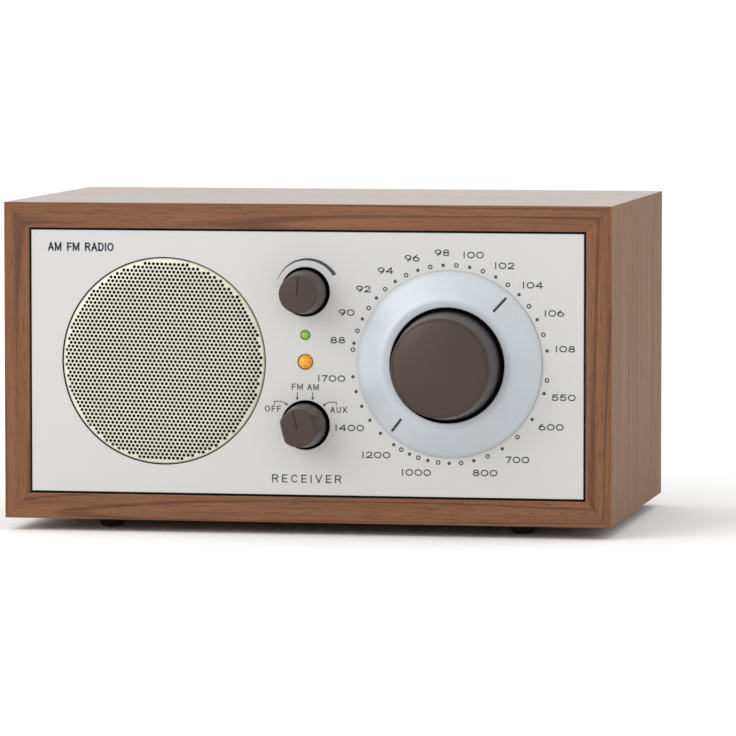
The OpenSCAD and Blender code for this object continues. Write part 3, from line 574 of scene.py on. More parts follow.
def carved(mesh, cutters):
    """The mesh with the cutters taken away."""
    scratch = [bpy.data.objects.new("cutter", cutter) for cutter in cutters]
    work = bpy.data.objects.new("work", mesh)
    for cutter in scratch:
        bpy.context.scene.collection.objects.link(cutter)
        cut = work.modifiers.new("cut", "BOOLEAN")
        cut.object, cut.operation, cut.solver = cutter, "DIFFERENCE", "EXACT"
    result = evaluated(work)
    for cutter in scratch:
        bpy.data.objects.remove(cutter)
    return tidy_mesh(result)


# %% [markdown]
# ## The cabinet boards
#
# Four boards are mitred at the corners, so the joint shows on the front as a fine diagonal
# line. The frame's boards have perfectly sharp edges that would meet without any line. A copy
# of each board gets a small chamfer on its long edges: the corners catch the light, and two
# chamfers side by side make the shadow of the mitre.

# %% Cabinet boards


def eased(node, name, chamfer, finish, body="cabinet", longest_from=0.0):
    """A copy of a CAD node with its sharp edges chamfered."""
    mesh = nodes[node].data.copy()
    work = bmesh.new()
    work.from_mesh(mesh)
    bmesh.ops.remove_doubles(work, verts=work.verts, dist=coarse_merge)
    bmesh.ops.dissolve_limit(work, angle_limit=math.radians(1), verts=work.verts,
                             edges=work.edges)
    sharp = [e for e in work.edges if e.calc_length() >= longest_from * MM
             and len(e.link_faces) == 2 and e.calc_face_angle() > math.radians(30)]
    bmesh.ops.bevel(work, geom=sharp, offset=chamfer * MM, offset_type="OFFSET", segments=1,
                    profile=0.5, affect="EDGES", clamp_overlap=True)
    bmesh.ops.triangulate(work, faces=[f for f in work.faces if len(f.verts) > 4])
    work.to_mesh(mesh)
    work.free()
    return hand_over(tidy_mesh(mesh, 20), name, body, [node], finish)


for board, finish in (("cabinet_top", walnut_lying), ("cabinet_bottom", walnut_lying),
                      ("cabinet_left", walnut_standing), ("cabinet_right", walnut_standing)):
    eased(board, board.replace("cabinet", "board"), 0.16, finish, longest_from=5)

# %% [markdown]
# ## The front panel
#
# The panel is a thin lacquered plate with one hole for the speaker, one for the dial, two for
# the small knobs and two for the lamps. A Boolean would do, but its long thin triangles can
# spoil a flat face. Here the outline and each hole are loops of points. Two loops make each
# wall, a third makes the chamfer, and Blender fills the flat faces between the loops. The
# walls of the holes are painted near black as painted shade, so that every gap is a clean dark line.

# %% Front panel


def loop_of(kind, grow):
    """The points of a hole or of a rectangle, drawn larger by grow."""
    if kind[0] == "round":
        _, x, z, radius, steps = kind
        return [(x + (radius + grow) * math.cos(2 * math.pi * k / steps),
                 z + (radius + grow) * math.sin(2 * math.pi * k / steps)) for k in range(steps)]
    _, (left, right), (low, high) = kind
    return [(left - grow, low - grow), (right + grow, low - grow),
            (right + grow, high + grow), (left - grow, high + grow)]


def plate(outline, holes, front_depth, back_depth, chamfer):
    """A pierced plate with chamfered front edges, or back edges if front_depth is the larger."""
    work = bmesh.new()
    inwards = 1 if back_depth > front_depth else -1
    levels = [(back_depth, 0.0), (front_depth + inwards * chamfer, 0.0), (front_depth, chamfer)]
    caps = {0: [], 2: []}
    for kind, sign in [(outline, -1)] + [(hole, 1) for hole in holes]:
        rings = []
        for level, (depth, grow) in enumerate(levels):
            ring = [work.verts.new(place(x, depth, z)) for x, z in loop_of(kind, sign * grow)]
            rings.append(ring)
            if level in caps:
                caps[level] += [work.edges.new((a, b)) for a, b in zip(ring, ring[1:] + ring[:1])]
        for one, two in zip(rings, rings[1:]):
            for k in range(len(one)):
                n = (k + 1) % len(one)
                work.faces.new((one[k], one[n], two[n], two[k]))
    for edges in caps.values():
        bmesh.ops.triangle_fill(work, use_beauty=True, edges=edges)
    mesh = bpy.data.meshes.new("work")
    work.to_mesh(mesh)
    work.free()
    return tidy_mesh(mesh, 20)


def square_of(node):
    """The outline of a flat CAD node, in the form that plate takes."""
    low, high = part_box(node)
    return ("square", (low.x / MM, high.x / MM),
            ((low.z - foot_height) / MM, (high.z - foot_height) / MM))


panel_low, panel_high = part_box("front_panel")
panel_front = (panel_low.y - front_y) / MM
panel_back = deepest("front_panel")
speaker_hole, hub_hole, knob_hole, power_hole, tuning_hole = 36.0, 9.0, 8.55, 1.7, 2.7
panel_holes = [
    ("round", *speaker, speaker_hole, 180), ("round", *dial, hub_hole, 64),
    ("round", *volume, knob_hole, 96), ("round", *function, knob_hole, 96),
    ("round", *power_lamp, power_hole, 40), ("round", *tuning_lamp, tuning_hole, 48),
]
panel_mesh = plate(square_of("front_panel"), panel_holes, panel_front, panel_back, chamfer=0.12)
panel_mesh.materials.append(panel_lacquer)
panel_mesh.materials.append(painted_shade_black)
# The hole walls get the near black: painted shade, so that the gaps read dark.
for face in panel_mesh.polygons:
    is_wall = abs(face.normal.y) < 0.5
    in_a_hole = (abs(face.center.x) < panel_high.x - MM
                 and panel_low.z + MM < face.center.z < panel_high.z - MM)
    face.material_index = int(is_wall and in_a_hole)
hand_over(panel_mesh, "panel", "cabinet", ["front_panel"])

# %% [markdown]
# ## A short way to write a Geometry Nodes tree
#
# Dots, holes, screws and threads repeat, so a node tree places them. The tree is written here
# in code, with named inputs for its sizes, so that it can be opened and played with. As with
# the finishes, a small class keeps it short. Every tree ends by making its instances real and
# by setting the finish. The result is read back as a plain mesh.

# %% Node trees, in short


class Recipe:
    """A Geometry Nodes tree under construction. A number makes an input for a size, an empty
    text one for a finish, and True one for an object."""

    KINDS = {float: "NodeSocketFloat", int: "NodeSocketInt", str: "NodeSocketMaterial",
             bool: "NodeSocketObject"}

    def __init__(self, name, **sizes):
        self.tree = bpy.data.node_groups.new(name, "GeometryNodeTree")
        face = self.tree.interface
        face.new_socket("Geometry", in_out="OUTPUT", socket_type="NodeSocketGeometry")
        face.new_socket("Geometry", in_out="INPUT", socket_type="NodeSocketGeometry")
        self.sockets = {}
        for label, value in sizes.items():
            socket = face.new_socket(label.replace("_", " "), in_out="INPUT",
                                     socket_type=self.KINDS[type(value)])
            if type(value) in (float, int):
                socket.default_value = value
            self.sockets[label] = socket.identifier
        self.start = self.tree.nodes.new("NodeGroupInput")
        self.given = self.start.outputs["Geometry"]

    def size(self, label):
        return self.start.outputs[label.replace("_", " ")]

    def add(self, kind, wires=None, out=0, **settings):
        """Adds a node, a geometry node unless its kind starts with a star."""
        made = self.tree.nodes.new("GeometryNode" + kind if kind[0] != "*" else kind[1:])
        for setting, value in settings.items():
            setattr(made, setting, value)
        wire(self.tree, made, wires)
        return made.outputs[out]

    def reckon(self, operation, first, second=0.0):
        return self.add("*ShaderNodeMath", {0: first, 1: second}, operation=operation)

    def join(self, *parts):
        made = self.tree.nodes.new("GeometryNodeJoinGeometry")
        for part in reversed(parts):
            self.tree.links.new(part, made.inputs[0])
        return made.outputs[0]

    def finish(self, geometry):
        """The last two steps of every tree."""
        real = self.add("RealizeInstances", {"Geometry": geometry})
        dressed = self.add("SetMaterial", {"Geometry": real, "Material": self.size("Finish")})
        end = self.tree.nodes.new("NodeGroupOutput")
        self.tree.links.new(dressed, end.inputs[0])

    def make(self, data, **sizes):
        """Runs the tree on a mesh or a curve and returns the plain mesh."""
        work = bpy.data.objects.new("work", data)
        nodes_on = work.modifiers.new("nodes", "NODES")
        nodes_on.node_group = self.tree
        for label, value in sizes.items():
            nodes_on[self.sockets[label]] = value
        return evaluated(work)


def spots(points, **marks):
    """Loose points for a tree to build on, with a number for each point in every mark."""
    mesh = bpy.data.meshes.new("spots")
    mesh.from_pydata([tuple(p) for p in points], [], [])
    for mark, values in marks.items():
        mesh.attributes.new(mark, "FLOAT", "POINT").data.foreach_set("value", values)
    return mesh


def on_panel(mesh, depth, centre=(0, 0)):
    """Stands a drawing up: x stays, y becomes height, and z comes out of the panel."""
    mesh.transform(Matrix.Translation(place(centre[0], depth, centre[1]))
                   @ Matrix.Rotation(math.pi / 2, 4, "X") @ Matrix.Scale(MM, 4))
    return mesh


# %% [markdown]
# ## The speaker grille
#
# The grille is a dished disc of enamelled sheet, punched with about nineteen hundred small
# holes in staggered rows. The holes have to be real, because the dark behind them gives the
# grille its look from every side. Two grids of points, one shifted by half a pitch, carry a
# small circle each. All the circles and one large circle are filled as a single flat shape,
# which Blender triangulates between them. The flat sheet is then thickened and pushed into a
# dish. The plain rim and the skirt are turned on the lathe and touch it edge to edge.

# %% The grille's tree
disc_radius, flat_radius, bend_radius, stand_out, sheet_thick = 35.15, 29.0, 12.4, 1.2, 0.5
grille_tree = Recipe(
    "punched_grille", Pitch=1.49, Row=1.29, Turn=-0.03, Hole=0.595, Reach=34.5,
    Disc=disc_radius, Flat=flat_radius, Bend=bend_radius, Stand=stand_out, Sheet=sheet_thick,
    Finish="",
)


def grid_of_points(tree, columns, rows):
    """Every second row of the staggered pattern."""
    return tree.add("MeshGrid", {
        "Size X": tree.reckon("MULTIPLY", tree.size("Pitch"), columns - 1),
        "Size Y": tree.reckon("MULTIPLY", tree.size("Row"), 2 * (rows - 1)),
        "Vertices X": columns, "Vertices Y": rows,
    })


def grille_shape(tree):
    """The whole recipe: grids, holes, one filled sheet, its thickness and its dish."""
    grids = tree.join(grid_of_points(tree, 49, 27), grid_of_points(tree, 48, 28))
    turn = tree.add("*ShaderNodeCombineXYZ", {"Z": tree.size("Turn")})
    grids = tree.add("Transform", {"Geometry": grids, "Rotation": turn})
    away = tree.add("*ShaderNodeVectorMath", {0: tree.add("InputPosition")}, out="Value",
                    operation="LENGTH")
    outside = tree.add("*FunctionNodeCompare", {0: away, 1: tree.size("Reach")},
                       data_type="FLOAT", operation="GREATER_THAN")
    grids = tree.add("DeleteGeometry", {"Geometry": grids, "Selection": outside}, domain="POINT")
    hole = tree.add("CurvePrimitiveCircle", {"Resolution": 10, "Radius": tree.size("Hole")})
    holes = tree.add("InstanceOnPoints", {"Points": grids, "Instance": hole})
    disc = tree.add("CurvePrimitiveCircle", {"Resolution": 160, "Radius": tree.size("Disc")})
    loops = tree.join(tree.add("RealizeInstances", {"Geometry": holes}), disc)
    flat = tree.add("FillCurve", {"Curve": loops}, mode="TRIANGLES")
    lifted = tree.add("ExtrudeMesh", {"Mesh": flat, "Offset Scale": tree.size("Sheet"),
                                      "Individual": False})
    back = tree.add("FlipFaces", {"Mesh": flat})
    sheet = tree.add("MergeByDistance", {"Geometry": tree.join(lifted, back)})
    # the dish: an arc of the bend's radius that starts where the flat middle ends
    past = tree.reckon("MAXIMUM", tree.reckon("SUBTRACT", away, tree.size("Flat")), 0.0)
    squares = tree.reckon("SUBTRACT", tree.reckon("POWER", tree.size("Bend"), 2.0),
                          tree.reckon("POWER", past, 2.0))
    drop = tree.reckon("SUBTRACT", tree.reckon("SQRT", squares), tree.size("Bend"))
    rise = tree.reckon("SUBTRACT", tree.reckon("ADD", drop, tree.size("Stand")),
                       tree.size("Sheet"))
    move = tree.add("*ShaderNodeCombineXYZ", {"Z": rise})
    return tree.add("SetPosition", {"Geometry": sheet, "Offset": move})


grille_tree.finish(grille_shape(grille_tree))

# %% The grille
rim_radius, skirt_radius = 35.65, 34.85


def dish_depth(radius):
    """How deep the front of the dish is at a radius."""
    return bend_radius - stand_out - math.sqrt(bend_radius**2 - max(radius - flat_radius, 0)**2)


punched = on_panel(grille_tree.make(spots([(0, 0, 0)]), Finish=grille_enamel), 0, speaker)
disc_edge = dish_depth(disc_radius)
rim_outline = [
    (disc_radius, disc_edge), (35.4, 0.68), (35.58, 0.95), (rim_radius, 1.3),
    (rim_radius, panel_back), (skirt_radius, panel_back), (skirt_radius, 1.6),
    (disc_radius, disc_edge + sheet_thick),
]
rim = turned(rim_outline, on_front(speaker), 160, closed=True)
rim.materials.append(grille_enamel)
hand_over(joined(punched, rim), "speaker_grille", "cabinet", ["grille"])

# %% [markdown]
# ## The dial ring
#
# The ring is a shallow cone of pearl silver that rises to a soft ridge round the tuning knob.
# Two narrow slots across the cone hold dark pointers. A cut would leave slivers on the smooth
# cone, so the slots are planned in: the ring is written station by station, and the stations
# beside a slot follow its straight edges. The cone stays perfectly smooth right up to them.
# The wall of the hole is painted near black as painted shade, so that the gap round the knob is a
# clean dark line.

# %% The dial ring
slot_half = 0.45
slot_inner, slot_outer = 24.46, 30.46
slot_floor = 0.6
ring_hole = 19.9
pointer_angle = math.radians(49.4)
stations = 96


def flowing(points, steps):
    """A smooth line through points, steps to each stretch."""
    result = []
    padded = [points[0]] + points + [points[-1]]
    for p, q, r, s in zip(padded, padded[1:], padded[2:], padded[3:]):
        for k in range(steps):
            t = k / steps
            result.append(tuple(
                0.5 * (2 * b + (c - a) * t + (2 * a - 5 * b + 4 * c - d) * t**2
                       + (3 * b - a - 3 * c + d) * t**3)
                for a, b, c, d in zip(p, q, r, s)))
    return result + [points[-1]]


ridge = [(slot_inner, -5.0), (23.75, -5.36), (23.1, -5.62), (22.45, -5.77), (21.8, -5.8),
         (20.4, -5.7), (19.95, -5.6)]
ring_outline = (
    [(32.05, 0.1), (32.05, -0.3), (31.9, -0.536), (slot_outer, -1.4)]
    + flowing(ridge, 4)
    + [(ring_hole, -5.5), (ring_hole, -1.1), (21.3, -1.1), (21.3, -4.2), (23.2, -4.4), (30.2, -0.2),
       (30.2, 0.1)]
)


def ring_point(radius, depth, half, k):
    """The point at station k of a half turn, between two slots' straight edges."""
    gap = math.asin(slot_half / radius)
    angle = pointer_angle + half * math.pi + gap + (math.pi - 2 * gap) * k / (stations - 1)
    return on_front(dial)(radius * math.cos(angle), radius * math.sin(angle), depth)


ring_points, ring_faces = [], []
for half in (0, 1):
    for k in range(stations):
        ring_points += [ring_point(radius, depth, half, k) for radius, depth in ring_outline]
wide = len(ring_outline)
slot_step = ring_outline.index((slot_outer, -1.4))
for station in range(2 * stations):
    beside = (station + 1) % (2 * stations)
    over_slot = station % stations == stations - 1
    for i in range(wide):
        n = (i + 1) % wide
        a, b = station * wide + i, station * wide + n
        c, d = beside * wide + n, beside * wide + i
        if not (over_slot and i == slot_step):
            ring_faces.append((a, b, c, d))
            continue
        sunk = len(ring_points)
        ring_points += [ring_points[j] + Vector((0, slot_floor * MM, 0)) for j in (a, b, c, d)]
        ring_faces += [(a, b, sunk + 1, sunk), (b, c, sunk + 2, sunk + 1),
                       (c, d, sunk + 3, sunk + 2), (d, a, sunk, sunk + 3),
                       (sunk, sunk + 1, sunk + 2, sunk + 3)]
ring_mesh = new_mesh(ring_points, ring_faces)
ring_mesh.materials.append(ring_pearl)
ring_mesh.materials.append(painted_shade_black)
# The hole wall gets the near black: painted shade in the gap round the knob.
for face in ring_mesh.polygons:
    corners = [ring_mesh.vertices[i].co for i in face.vertices]
    away = [math.hypot(c.x / MM - dial[0], (c.z - foot_height) / MM - dial[1]) for c in corners]
    face.material_index = int(max(away) < ring_hole + 0.03)
hand_over(ring_mesh, "scale_ring", "dial", ["dial_ring"])

# %% [markdown]
# ## The tuning knob
#
# The large knob is a tapered drum with a slightly domed face and a hollow back. The corner
# between face and side is a small arc. A fine turned step just inside the edge gives the thin
# line that runs round the face. Behind its widest part the drum steps in, which keeps the gap
# to the ring dark.

# %% The tuning knob
tuning_outline = [
    (0, -22, 0), (4, -21.92, 30), (8, -21.68, 30), (12, -21.28, 30), (16.2, -20.7, 0.1),
    (16.25, -20.58, 0.05), (16.35, -20.58, 0.05), (16.4, -20.68, 0.05), (17.05, -20.6, 0.5),
    (18.7, -6.4, 0.3), (17.5, -5.6, 0.3), (17.5, -3, 0.2), (16.85, -3, 0.3), (15, -19.6, 0.5),
    (6, -19.6, 0.5), (6, -3.6, 0.3), (3.02, -3.6, 0.2), (3.02, -18.5, 0), (0, -18.5, 0),
]
hand_over(turned(rounded(tuning_outline, 5), on_front(dial), 160), "tuning_drum",
          "tuning_control", ["tuning_knob"], knob_lacquer)

# %% [markdown]
# ## The small knobs
#
# Both small knobs are the same turned cone. The volume knob has a groove from its middle
# nearly to its edge. The function knob's groove runs off the edge, and two sloping flats
# beside it make it a pointer for the fingers. Body first, cuts after, as in the factory.

# %% The small knobs
small_face = -14
small_outline = [
    (0, small_face, 0), (6.53, small_face, 0.4), (7.65, -1.3, 0.2), (7.0, 0, 0.2),
    (7.0, 2.5, 0.2), (6.6, 2.5, 0.2), (4.93, -12, 0.3), (4.3, -12, 0.1), (4.3, 2.5, 0.2),
    (3.02, 2.5, 0.2), (3.02, -11.5, 0), (0, -11.5, 0),
]
groove_half, groove_deep = 0.45, 0.6
volume_angle, function_angle = math.radians(85.4), math.radians(104)
flat_away, flat_slope = 5.4, math.radians(14.3)


def knob_frame(centre, angle):
    """Axes on a knob's face: x along the groove, y across it, z into the cabinet."""
    along = Vector((math.cos(angle), 0, math.sin(angle)))
    across = Vector((-math.sin(angle), 0, math.cos(angle)))
    turn = Matrix((along, across, Vector((0, 1, 0)))).transposed().to_4x4()
    return Matrix.Translation(place(centre[0], small_face, centre[1])) @ turn @ Matrix.Scale(MM, 4)


def groove_cutter(matrix, reach):
    """A bar that cuts the groove from just behind the middle of the face to its reach."""
    return box_mesh((-0.3, reach), (-groove_half, groove_half), (-1, groove_deep), matrix)


def flat_cutter(matrix, side):
    """A leaning block that cuts the flat on one side of the groove."""
    lean = Matrix.Translation((0, side * flat_away, 0)) @ Matrix.Rotation(-side * flat_slope, 4, "X")
    return box_mesh((-15, 15), (0, 10) if side > 0 else (-10, 0), (-5, 16), matrix @ lean)


def small_knob(name, node, body, centre, angle, groove_reach, flat_sides=()):
    """One small knob: the turned cone, its groove and its flats."""
    matrix = knob_frame(centre, angle)
    cutters = [groove_cutter(matrix, groove_reach)]
    cutters += [flat_cutter(matrix, side) for side in flat_sides]
    cone = turned(rounded(small_outline), on_front(centre), 128)
    hand_over(carved(cone, cutters), name, body, [node], knob_lacquer)


small_knob("volume_cone", "volume_knob", "volume_control", volume, volume_angle, 5.7)
small_knob("function_cone", "function_knob", "function_control", function, function_angle, 8.5,
           flat_sides=(1, -1))

# %% [markdown]
# ## The lamps' domes
#
# A lamp is a dome on a short barrel, with a foot that stops it from falling through the panel.
# Its two legs run back to the control board.

# %% The lamps


leg_half, leg_away, leg_ends = 0.25, 1.27, (4.2, 20.1)


def lamp_piece(name, centre, radius, tip, flange, node, finish):
    """A dome on a barrel with a foot, and two legs behind it."""
    dome = [(radius * math.sin(math.radians(a)), tip + radius - radius * math.cos(math.radians(a)))
            for a in range(0, 91, 9)]
    outline = dome + [(radius, 3.2), (flange, 3.2), (flange, 4.2), (0, 4.2)]
    legs = [box_mesh((x - leg_half, x + leg_half), leg_ends,
                     (centre[1] - leg_half, centre[1] + leg_half), maker_axes)
            for x in (centre[0] - leg_away, centre[0] + leg_away)]
    body = turned(outline, on_front(centre), 48)
    body.materials.append(finish)
    for leg in legs:
        leg.materials.append(nickel)
    hand_over(joined(body, *legs), name, "cabinet", [node])


lamp_piece("power_lamp", power_lamp, 1.5, -0.6, 1.9, "power_led", lamp_green)
lamp_piece("tuning_lamp", tuning_lamp, 2.5, -1.3, 2.9, "tuning_led",
           lamp_amber)

# %% [markdown]
# ## Printing on the panel
#
# The scale is silk-screened: a layer of ink that is a few hundredths of a millimetre thick.
# The figures are drawn with strokes of one width, like the pen of a draughtsman, so each one
# is a few lines and arcs in a box that is one wide and one high. A node tree sweeps a thin
# rectangle along every stroke. All the words are general ones, as found on any radio.

# %% Strokes
ink_thick, dot_thick = 0.06, 0.03
sharp_corner = math.radians(40)


def bow(x, y, across, up, start, stop):
    """Points on an arc, with angles in degrees anticlockwise from the right."""
    steps = max(3, round(abs(stop - start) / 20))
    turn = [math.radians(start + (stop - start) * k / steps) for k in range(steps + 1)]
    return [(x + across * math.cos(a), y + up * math.sin(a)) for a in turn]


def six():
    """The strokes of a 6, which upside down are those of a 9."""
    return [bow(0.5, 0.32, 0.5, 0.32, 0, 360), bow(0.9, 0.32, 0.9, 0.72, 180, 112)]


LETTERS = {
    "0": (1.22, [bow(0.5, 0.5, 0.5, 0.5, 90, 450)]),
    "1": (0.42, [[(0.5, 0), (0.5, 1)]]),
    "2": (1.03, [bow(0.5, 0.7, 0.47, 0.3, 165, -38) + [(0.02, 0), (1, 0)]]),
    "4": (1.15, [[(0.76, 0), (0.76, 1), (0, 0.3), (1, 0.3)]]),
    "5": (1.05, [[(0.9, 1), (0.16, 1), (0.08, 0.55)] + bow(0.48, 0.33, 0.5, 0.33, 128, -150)]),
    "6": (1.08, six()),
    "7": (0.85, [[(0, 1), (1, 1), (0.36, 0)]]),
    "8": (1.05, [bow(0.5, 0.75, 0.4, 0.25, -90, 270), bow(0.5, 0.26, 0.5, 0.26, 90, 450)]),
    "9": (1.08, [[(1 - x, 1 - y) for x, y in stroke] for stroke in six()]),
    "A": (0.95, [[(0, 0), (0.5, 1), (1, 0)], [(0.18, 0.34), (0.82, 0.34)]]),
    "C": (0.9, [bow(0.52, 0.5, 0.52, 0.5, 42, 318)]),
    "D": (0.9, [[(0.4, 0), (0, 0), (0, 1), (0.4, 1)] + bow(0.4, 0.5, 0.6, 0.5, 80, -90)]),
    "E": (0.7, [[(1, 0), (0, 0), (0, 1), (1, 1)], [(0, 0.5), (0.9, 0.5)]]),
    "F": (0.7, [[(0, 0), (0, 1), (1, 1)], [(0, 0.5), (0.9, 0.5)]]),
    "H": (0.85, [[(0, 0), (0, 1)], [(1, 0), (1, 1)], [(0, 0.5), (1, 0.5)]]),
    "I": (0.02, [[(0.5, 0), (0.5, 1)]]),
    "L": (0.65, [[(0, 1), (0, 0), (1, 0)]]),
    "M": (1.1, [[(0, 0), (0, 1), (0.5, 0.12), (1, 1), (1, 0)]]),
    "N": (0.9, [[(0, 0), (0, 1), (1, 0), (1, 1)]]),
    "O": (1.05, [bow(0.5, 0.5, 0.5, 0.5, 90, 450)]),
    "P": (0.8, [[(0, 0), (0, 1), (0.5, 1)] + bow(0.6, 0.75, 0.4, 0.25, 80, -90) + [(0, 0.5)]]),
    "R": (0.85, [[(0, 0), (0, 1), (0.5, 1)] + bow(0.6, 0.75, 0.4, 0.25, 80, -90)
                 + [(0, 0.5)], [(0.55, 0.5), (1, 0)]]),
    "S": (0.8, [bow(0.5, 0.74, 0.46, 0.26, 25, 270) + bow(0.5, 0.24, 0.5, 0.24, 90, -155)]),
    "T": (0.85, [[(0, 1), (1, 1)], [(0.5, 0), (0.5, 1)]]),
    "U": (0.85, [[(0, 1), (0, 0.42)] + bow(0.5, 0.42, 0.5, 0.42, 180, 360) + [(1, 1)]]),
    "V": (0.95, [[(0, 1), (0.5, 0), (1, 1)]]),
    "X": (0.95, [[(0, 0), (1, 1)], [(0, 1), (1, 0)]]),
    " ": (0.5, []),
}


def word(text, centre, high, pen, wide=None, gap=0.42):
    """The strokes of a word centred on a point. high is over the ink, and wide stretches it."""
    tall = high - pen
    starts, reach = [], 0
    for letter in text:
        starts.append(reach)
        reach += LETTERS[letter][0] * tall + gap * high + pen * 0.5
    reach -= gap * high + pen * 0.5
    stretch = (wide - pen) / reach if wide else 1.0
    strokes = [[((start + x * LETTERS[letter][0] * tall) * stretch, (y - 0.5) * tall)
                for x, y in stroke]
               for letter, start in zip(text, starts) for stroke in LETTERS[letter][1]]
    across = [x for stroke in strokes for x, _ in stroke]
    shift = centre[0] - (min(across) + max(across)) / 2
    return [[(x + shift, y + centre[1]) for x, y in stroke] for stroke in strokes]


def word_width(text, high, pen, gap):
    """How wide a word's ink is."""
    xs = [x for stroke in word(text, (0, 0), high, pen, gap=gap) for x, _ in stroke]
    return max(xs) - min(xs) + pen


def pen_lines(strokes, pen):
    """Strokes as one curve for the tree. The pen is lifted at sharp corners, and ends are square."""
    curve = bpy.data.curves.new("strokes", "CURVE")
    curve.dimensions = "3D"
    lines = []
    for stroke in strokes:
        line = [Vector(stroke[0])]
        for here, after in zip(stroke[1:], stroke[2:] + [None]):
            line.append(Vector(here))
            ahead = Vector(after) - line[-1] if after else line[-1] - line[-2]
            if (line[-1] - line[-2]).angle(ahead, 0) > sharp_corner:
                lines.append(line)
                line = [Vector(here)]
        lines.append(line)
    for line in lines:
        ring = len(line) > 3 and (line[0] - line[-1]).length < 1e-6
        if ring:
            line.pop()
        else:
            first, last = (line[0] - line[1]).normalized(), (line[-1] - line[-2]).normalized()
            line[0] = line[0] + first * pen / 2
            line[-1] = line[-1] + last * pen / 2
        path = curve.splines.new("POLY")
        path.points.add(len(line) - 1)
        for point, (x, y) in zip(path.points, line):
            point.co = (x, y, 0, 1)
        path.use_cyclic_u = ring
    return curve


pen_tree = Recipe("ink_strokes", Pen=0.3, Thick=ink_thick, Finish="")
pen_curve = pen_tree.add("SetCurveNormal", {"Curve": pen_tree.given}, mode="Z_UP")
pen_nib = pen_tree.add("CurvePrimitiveQuadrilateral", {
    "Width": pen_tree.size("Pen"), "Height": pen_tree.size("Thick")}, mode="RECTANGLE")
pen_tree.finish(pen_tree.add("CurveToMesh", {
    "Curve": pen_curve, "Profile Curve": pen_nib, "Fill Caps": True}))


def ink_on_panel(mesh, name):
    """Stands a flat drawing on the front panel and hands it over."""
    hand_over(tidy_mesh(on_panel(mesh, panel_front), merge=fine_merge), name, "cabinet")


def printed(name, strokes, pen, finish):
    """Strokes of ink on the front panel."""
    ink_on_panel(pen_tree.make(pen_lines(strokes, pen), Pen=pen, Finish=finish), name)


# %% [markdown]
# ## The scale
#
# The dots stand on one circle round the dial. A tuning capacitor isn't linear, so the dots
# draw together towards one end of each band. Two short formulas give the angle of a frequency
# on the FM and the AM band. Every number stands outside its dot and is pushed sideways by most
# of its own half width, so that all of them clear the circle by about the same distance.

# %% Where the frequencies are
scale_radius = 34.08
figure_high, figure_pen, figure_gap = 2.3, 0.42, 0.265


def fm_angle(megahertz):
    x = megahertz - 98
    return 93.94 - 7.66 * x - 0.0553 * x**2 - 0.00336 * x**3


def am_angle(kilohertz):
    u = math.log(kilohertz / 1000)
    return -102.87 - 119.13 * u - 2.03 * u**2 - 54.3 * u**3 + 34.4 * u**4


fm_dots = [(87.5, True)] + [(f, f % 2 == 1) for f in range(88, 109)]
am_open = [530] + list(range(650, 1200, 100))
am_dots = [(f, True) for f in am_open] + [
    (f, False) for f in [550] + list(range(600, 1800, 100))]
dots = [(fm_angle(f), hollow) for f, hollow in fm_dots]
dots += [(am_angle(f), hollow) for f, hollow in am_dots]
numbers = [(str(f), fm_angle(f)) for f in range(88, 109, 2)]
numbers += [(str(f), am_angle(f)) for f in (550, 600, 700, 800, 1000, 1200, 1400, 1700)]
print("dots:", len(dots), "numbers:", len(numbers))

# %% The dots' tree
dot_tree = Recipe("scale_dots", Solid=0.6, Outer=0.82, Pen=0.42, Thick=dot_thick, Finish="")


def flat_ring(tree, outer, inner=None):
    """A disc, or a ring if there is an inner circle, thickened towards the eye."""
    circle = tree.add("CurvePrimitiveCircle", {"Resolution": 24, "Radius": outer})
    if inner is not None:
        hole = tree.add("CurvePrimitiveCircle", {"Resolution": 24, "Radius": inner})
        circle = tree.join(circle, hole)
    face = tree.add("FillCurve", {"Curve": circle}, mode="TRIANGLES")
    lifted = tree.add("ExtrudeMesh", {"Mesh": face, "Offset Scale": tree.size("Thick"),
                                      "Individual": False})
    return tree.join(lifted, tree.add("FlipFaces", {"Mesh": face}))


hollow_mark = dot_tree.add("InputNamedAttribute", {"Name": "hollow"}, data_type="FLOAT")
is_hollow = dot_tree.add("*FunctionNodeCompare", {0: hollow_mark, 1: 0.5},
                         data_type="FLOAT", operation="GREATER_THAN")
is_solid = dot_tree.add("*FunctionNodeBooleanMath", {0: is_hollow}, operation="NOT")
inner_size = dot_tree.reckon("SUBTRACT", dot_tree.size("Outer"), dot_tree.size("Pen"))
solid_dots = dot_tree.add("InstanceOnPoints", {
    "Points": dot_tree.given, "Selection": is_solid,
    "Instance": flat_ring(dot_tree, dot_tree.size("Solid"))})
open_dots = dot_tree.add("InstanceOnPoints", {
    "Points": dot_tree.given, "Selection": is_hollow,
    "Instance": flat_ring(dot_tree, dot_tree.size("Outer"), inner_size)})
dot_tree.finish(dot_tree.join(solid_dots, open_dots))

# %% Dots and numbers
dot_points = [(dial[0] + scale_radius * math.cos(math.radians(a)),
               dial[1] + scale_radius * math.sin(math.radians(a)), 0) for a, _ in dots]
dot_mesh = dot_tree.make(spots(dot_points, hollow=[float(h) for _, h in dots]),
                         Finish=print_ink)
ink_on_panel(dot_mesh, "scale_dots")

figure_strokes = []
for text, angle in numbers:
    a = math.radians(angle)
    half_wide = word_width(text, figure_high, figure_pen, figure_gap) / 2
    sideways = max(-0.8, min(0.8, math.cos(a) * (2.8 if int(text) > 500 else 0.9)))
    upwards = max(-0.6, min(0.6, math.sin(a) * 1.1))
    centre = (dial[0] + (scale_radius + 3.7) * math.cos(a) + half_wide * sideways,
              dial[1] + (scale_radius + 3.7) * math.sin(a) + upwards)
    figure_strokes += word(text, centre, figure_high, figure_pen, gap=figure_gap)
printed("scale_numbers", figure_strokes, figure_pen, print_ink)
